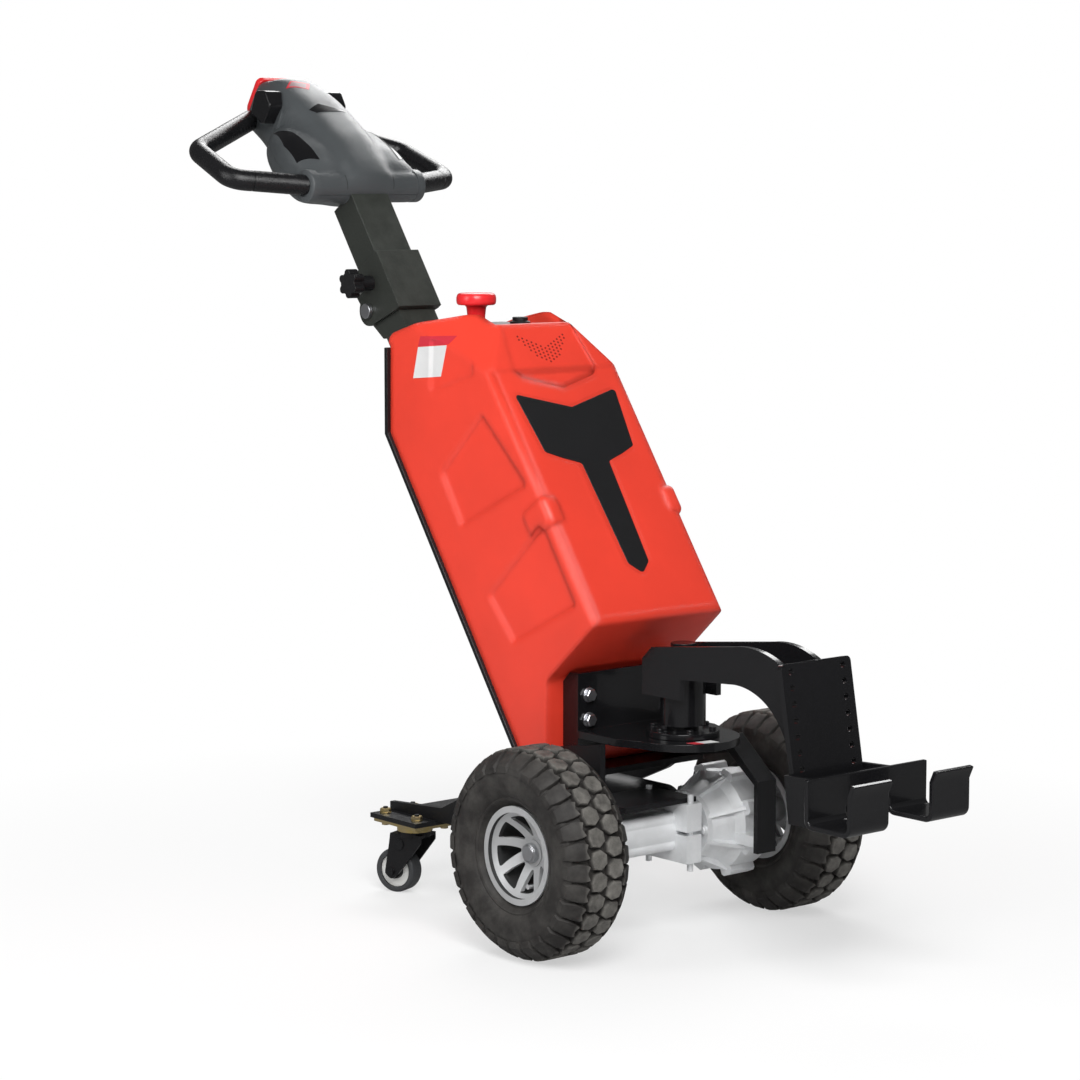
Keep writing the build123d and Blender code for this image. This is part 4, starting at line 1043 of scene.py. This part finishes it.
def leaning(out, y, up):
    """A point in the body's own lean: out of its front, across, and up it."""
    return LEAN @ (Vector((out, y, up)) / 1000)


# Columns: name, node that carries it, look, lift in mm, direction it is laid in, corners.
LABELS = (
    ("label_head", "red_cover", "label_red", 0.4, (0, 1, 0),
     ((-441, -170, 937), (-372, -170, 940), (-375, -170, 926), (-447, -170, 920))),
    ("label_body", "red_cover", "label_white", 0.4, (0, 1, 0),
     ((-447, -170, 919), (-377, -170, 925), (-392, -170, 873), (-460, -170, 867))),
    ("nose_label", "hitch_bracket", "label_white", 0.2, (0, 0, -1),
     ((108, -46, 360), (114, 0, 360), (133, 0, 360), (123, -42, 360))),
    ("nose_label_edge", "hitch_bracket", "label_red", 0.35, (0, 0, -1),
     ((108, -46, 360), (110, -30, 360), (128, -27, 360), (123, -42, 360))),
)
LABEL_CELLS = (36, 24)

# The gear housing's ring of bolts: its radius, the height of its middle, and each bolt's turn.
FLANGE_R = 48
FLANGE_UP = 165
FLANGE_TURNS = [pi * i / 4 for i in range(8)]

# Columns: carrying node, look, width across flats, height, washer radius, direction, places.
BOLTS = (
    ("hitch_bracket", "zinc", 18.0, 9.5, 12.0, (1, 0, 0),
     [(-80, y, z) for y in (-84, 84) for z in (341, 381)]),
    ("gear_housing", "cast_aluminium", 12.0, 6.5, 7.5, (0, -1, 0),
     [(FLANGE_R * cos(turn), 50.0, FLANGE_UP + FLANGE_R * sin(turn)) for turn in FLANGE_TURNS]),
    ("rear_carrier", "yellow_zinc", 16.5, 8.5, 10.0, (0, 0, 1),
     [(-458 + x, side * 142 + y, 134) for side in (-1, 1) for x in (-43, 43) for y in (-29, 29)]),
)

# Speaker holes in mm: half the columns, pitches across and up, rows in each column, the pattern's
# top as (up, slope), where the drop onto the cover starts, a hole's radius and its lift.
HOLE_COLUMNS = 6
HOLE_PITCH = 8.0
HOLE_ROW_PITCH = 6.4
HOLE_ROWS = (5, 5, 5, 5, 4, 3, 2)
HOLE_TOP = (920.0, 0.5)
HOLE_START = 330
HOLE_R = 1.7
HOLE_LIFT = 0.2


def hex_bolt(across, height, washer):
    """A hexagon head with a broken edge on a washer, standing on the XY plane."""
    shape = bmesh.new()
    corner = across / 3 ** 0.5
    disc = ((washer, 0.0), (washer, 1.6), (washer - 0.5, 2.1))
    hexagon = ((corner, 2.0), (corner, height - 1.2), (corner - 1.4, height))
    for sides, rows in ((28, disc), (6, hexagon)):
        turns = [2 * pi * k / sides for k in range(sides)]
        rings = []
        for radius, z in rows:
            ring = [(radius * cos(t) / 1000, radius * sin(t) / 1000, z / 1000) for t in turns]
            rings.append([shape.verts.new(place) for place in ring])
        skinned(shape, rings)
    return mesh_from("bolt", shape)


def dimple(radius):
    """A small dark disc of painted shade that reads as a hole."""
    shape = bmesh.new()
    bmesh.ops.create_circle(shape, cap_ends=True, segments=12, radius=radius)
    return mesh_from("hole", shape)


def speaker_holes(surface):
    """Where the holes in the cover's front go: a V of columns, dropped onto the recess."""
    way = LEAN.to_3x3() @ Vector((-1, 0, 0))
    turn = LEAN.to_3x3().to_4x4() @ Matrix.Rotation(pi / 2, 4, "Y")
    top, slope = HOLE_TOP
    places = []
    for i in range(-HOLE_COLUMNS, HOLE_COLUMNS + 1):
        y = i * HOLE_PITCH
        for row in range(HOLE_ROWS[abs(i)]):
            up = top + slope * abs(y) - HOLE_ROW_PITCH * row
            hit = dropped(surface, leaning(HOLE_START, y, up), way)
            places.append(Matrix.Translation(hit - way * (HOLE_LIFT / 1000)) @ turn)
    return places


class TUG_OT_details(bpy.types.Operator):
    """Lay on the blank labels and the speaker holes and set the bolt heads"""
    bl_idname = "tug.details"
    bl_label = "Labels and bolts"

    def execute(self, context):
        for name, node, look, lift, way, spots in LABELS:
            shape = bmesh.new()
            surface = surface_of(frame["nodes"][node].data)
            corners = [machine(*spot) for spot in spots]
            laid(shape, surface, corners, Vector(way), lift / 1000, LABEL_CELLS)
            new_object(name, mesh_from(name, shape), look, body_of(node))
        cover = surface_of(frame["nodes"]["red_cover"].data)
        # The speaker holes are dark discs of painted shade dropped onto the cover's recess.
        holes = copies_of(dimple(HOLE_R / 1000), speaker_holes(cover), "hole_shade")
        new_object("speaker_holes", holes, "hole_shade", body_of("red_cover"))
        for i, (node, look, across, height, washer, way, spots) in enumerate(BOLTS):
            turn = Vector(way).to_track_quat("Z", "Y").to_matrix().to_4x4()
            places = [Matrix.Translation(machine(*spot)) @ turn for spot in spots]
            heads = copies_of(hex_bolt(across, height, washer), places, look)
            new_object("bolts_%d" % i, heads, look, body_of(node))
        return {"FINISHED"}


# Stage

# Columns: name, share of the key light's power, width and height, place, the point it faces.
LIGHTS = (
    ("key", 1.0, (1.6, 2.2), (2.2, -1.6, 2.6), (0.1, 0, 0.6)),
    ("side", 0.3, (1.2, 2.4), (-0.6, -3.2, 2.0), (0, 0, 0.6)),
    ("back", 0.5, (2.4, 1.2), (-1.8, 1.8, 2.6), (0, 0, 0.7)),
)
FLOOR_REACH = 30.0


def soft_light(name, power, size, place, aim):
    data = bpy.data.lights.new(name, "AREA")
    data.energy = power
    data.shape = "RECTANGLE"
    data.size, data.size_y = size
    light = bpy.data.objects.new(name, data)
    light.location = place
    light.rotation_euler = (Vector(aim) - Vector(place)).to_track_quat("-Z", "Y").to_euler()
    bpy.context.scene.collection.objects.link(light)


def studio_world(strength):
    world = bpy.data.worlds.new("studio")
    world.use_nodes = True
    bpy.context.scene.world = world
    tree = world.node_tree
    fill = tree.nodes["Background"]
    fill.inputs["Color"].default_value = WHITE
    fill.inputs["Strength"].default_value = strength
    seen = tree.nodes.new("ShaderNodeLightPath")
    surface = fill.outputs[0]
    for ray, glow in (("Is Glossy Ray", strength * 0.5), ("Is Camera Ray", 1.0)):
        other = tree.nodes.new("ShaderNodeBackground")
        other.inputs["Color"].default_value = WHITE
        other.inputs["Strength"].default_value = glow
        mix = tree.nodes.new("ShaderNodeMixShader")
        tree.links.new(seen.outputs[ray], mix.inputs[0])
        tree.links.new(surface, mix.inputs[1])
        tree.links.new(other.outputs[0], mix.inputs[2])
        surface = mix.outputs[0]
    tree.links.new(surface, tree.nodes["World Output"].inputs["Surface"])


def floor_look():
    """Pale floor that keeps its contact shadow and fades to white away from the machine."""
    look = Shading("studio floor", Roughness=0.9, Specular_IOR_Level=0.0)
    x, y, _ = look.axes()
    away = (x ** 2.0 + y ** 2.0) ** 0.5
    look.set(Base_Color=look.mix(away.ramp(0.8, 2.4), (0.86, 0.86, 0.86), (0.95, 0.95, 0.95)))
    glow = look.node("ShaderNodeEmission", Color=WHITE, Strength=1.0)
    dim = look.node("ShaderNodeEmission", Color=WHITE, Strength=0.12)
    rays = look.node("ShaderNodeLightPath")
    seen = Value(look, rays.outputs["Is Camera Ray"]) * (away.ramp(0.5, 1.5) * 0.45 + 0.55)
    surface = look.surface.outputs[0]
    for share, other in ((Value(look, rays.outputs["Is Glossy Ray"]) * 0.8, dim), (seen, glow)):
        mix = look.node("ShaderNodeMixShader")
        look.feed(mix.inputs[0], share)
        look.feed(mix.inputs[1], surface)
        look.feed(mix.inputs[2], other.outputs[0])
        surface = mix.outputs[0]
    look.feed(look.tree.nodes["Material Output"].inputs["Surface"], surface)
    return look.material


class TUG_OT_stage(bpy.types.Operator):
    """Set the camera, the studio lights and the floor"""
    bl_idname = "tug.stage"
    bl_label = "Stage"

    def execute(self, context):
        stage = context.scene.tug_stage
        context.scene.view_settings.view_transform = "Standard"
        camera = bpy.data.objects.new("camera", bpy.data.cameras.new("camera"))
        camera.data.lens = stage.lens
        camera.data.sensor_width = 36.0
        camera.data.clip_end = 100.0
        camera.location = Vector(stage.eye) + Vector((AXLE.x, 0, 0))
        camera.rotation_euler = Vector(stage.look).to_track_quat("-Z", "Y").to_euler()
        context.scene.collection.objects.link(camera)
        context.scene.camera = camera
        studio_world(stage.sky)
        for name, share, size, place, aim in LIGHTS:
            soft_light(name, stage.key_power * share, size, place, aim)
        floor = bmesh.new()
        bmesh.ops.create_grid(floor, x_segments=8, y_segments=8, size=FLOOR_REACH)
        mesh = mesh_from("floor", floor)
        ground = bpy.data.objects.new("floor", mesh)
        context.scene.collection.objects.link(ground)
        mesh.materials.append(floor_look())
        return {"FINISHED"}


class TUG_PT_panel(bpy.types.Panel):
    """Sizes, colours and the steps that build the machine"""
    bl_idname = "TUG_PT_panel"
    bl_label = "Electric tug"
    bl_space_type = "VIEW_3D"
    bl_region_type = "UI"
    bl_category = "Tug"

    def draw(self, context):
        for group in (context.scene.tug_palette, context.scene.tug_tyre, context.scene.tug_stage):
            box = self.layout.box()
            for name in group.__annotations__:
                box.prop(group, name)
        for step in STEPS:
            self.layout.operator(step.bl_idname)


GROUPS = {"tug_palette": TugPalette, "tug_tyre": TugTyre, "tug_stage": TugStage}
STEPS = (TUG_OT_stage, TUG_OT_tyres, TUG_OT_dress, TUG_OT_head, TUG_OT_details)


def register():
    for name, group in GROUPS.items():
        bpy.utils.register_class(group)
        setattr(bpy.types.Scene, name, PointerProperty(type=group))
    for step in STEPS + (TUG_PT_panel,):
        bpy.utils.register_class(step)


def unregister():
    for step in reversed(STEPS + (TUG_PT_panel,)):
        bpy.utils.unregister_class(step)
    for name, group in reversed(GROUPS.items()):
        delattr(bpy.types.Scene, name)
        bpy.utils.unregister_class(group)


def main():
    register()
    LOOKS.update(make_looks())
    bpy.ops.tug.stage()
    bpy.ops.tug.tyres()
    bpy.ops.tug.dress()
    bpy.ops.tug.head()
    bpy.ops.tug.details()


if __name__ == "__main__":
    main()
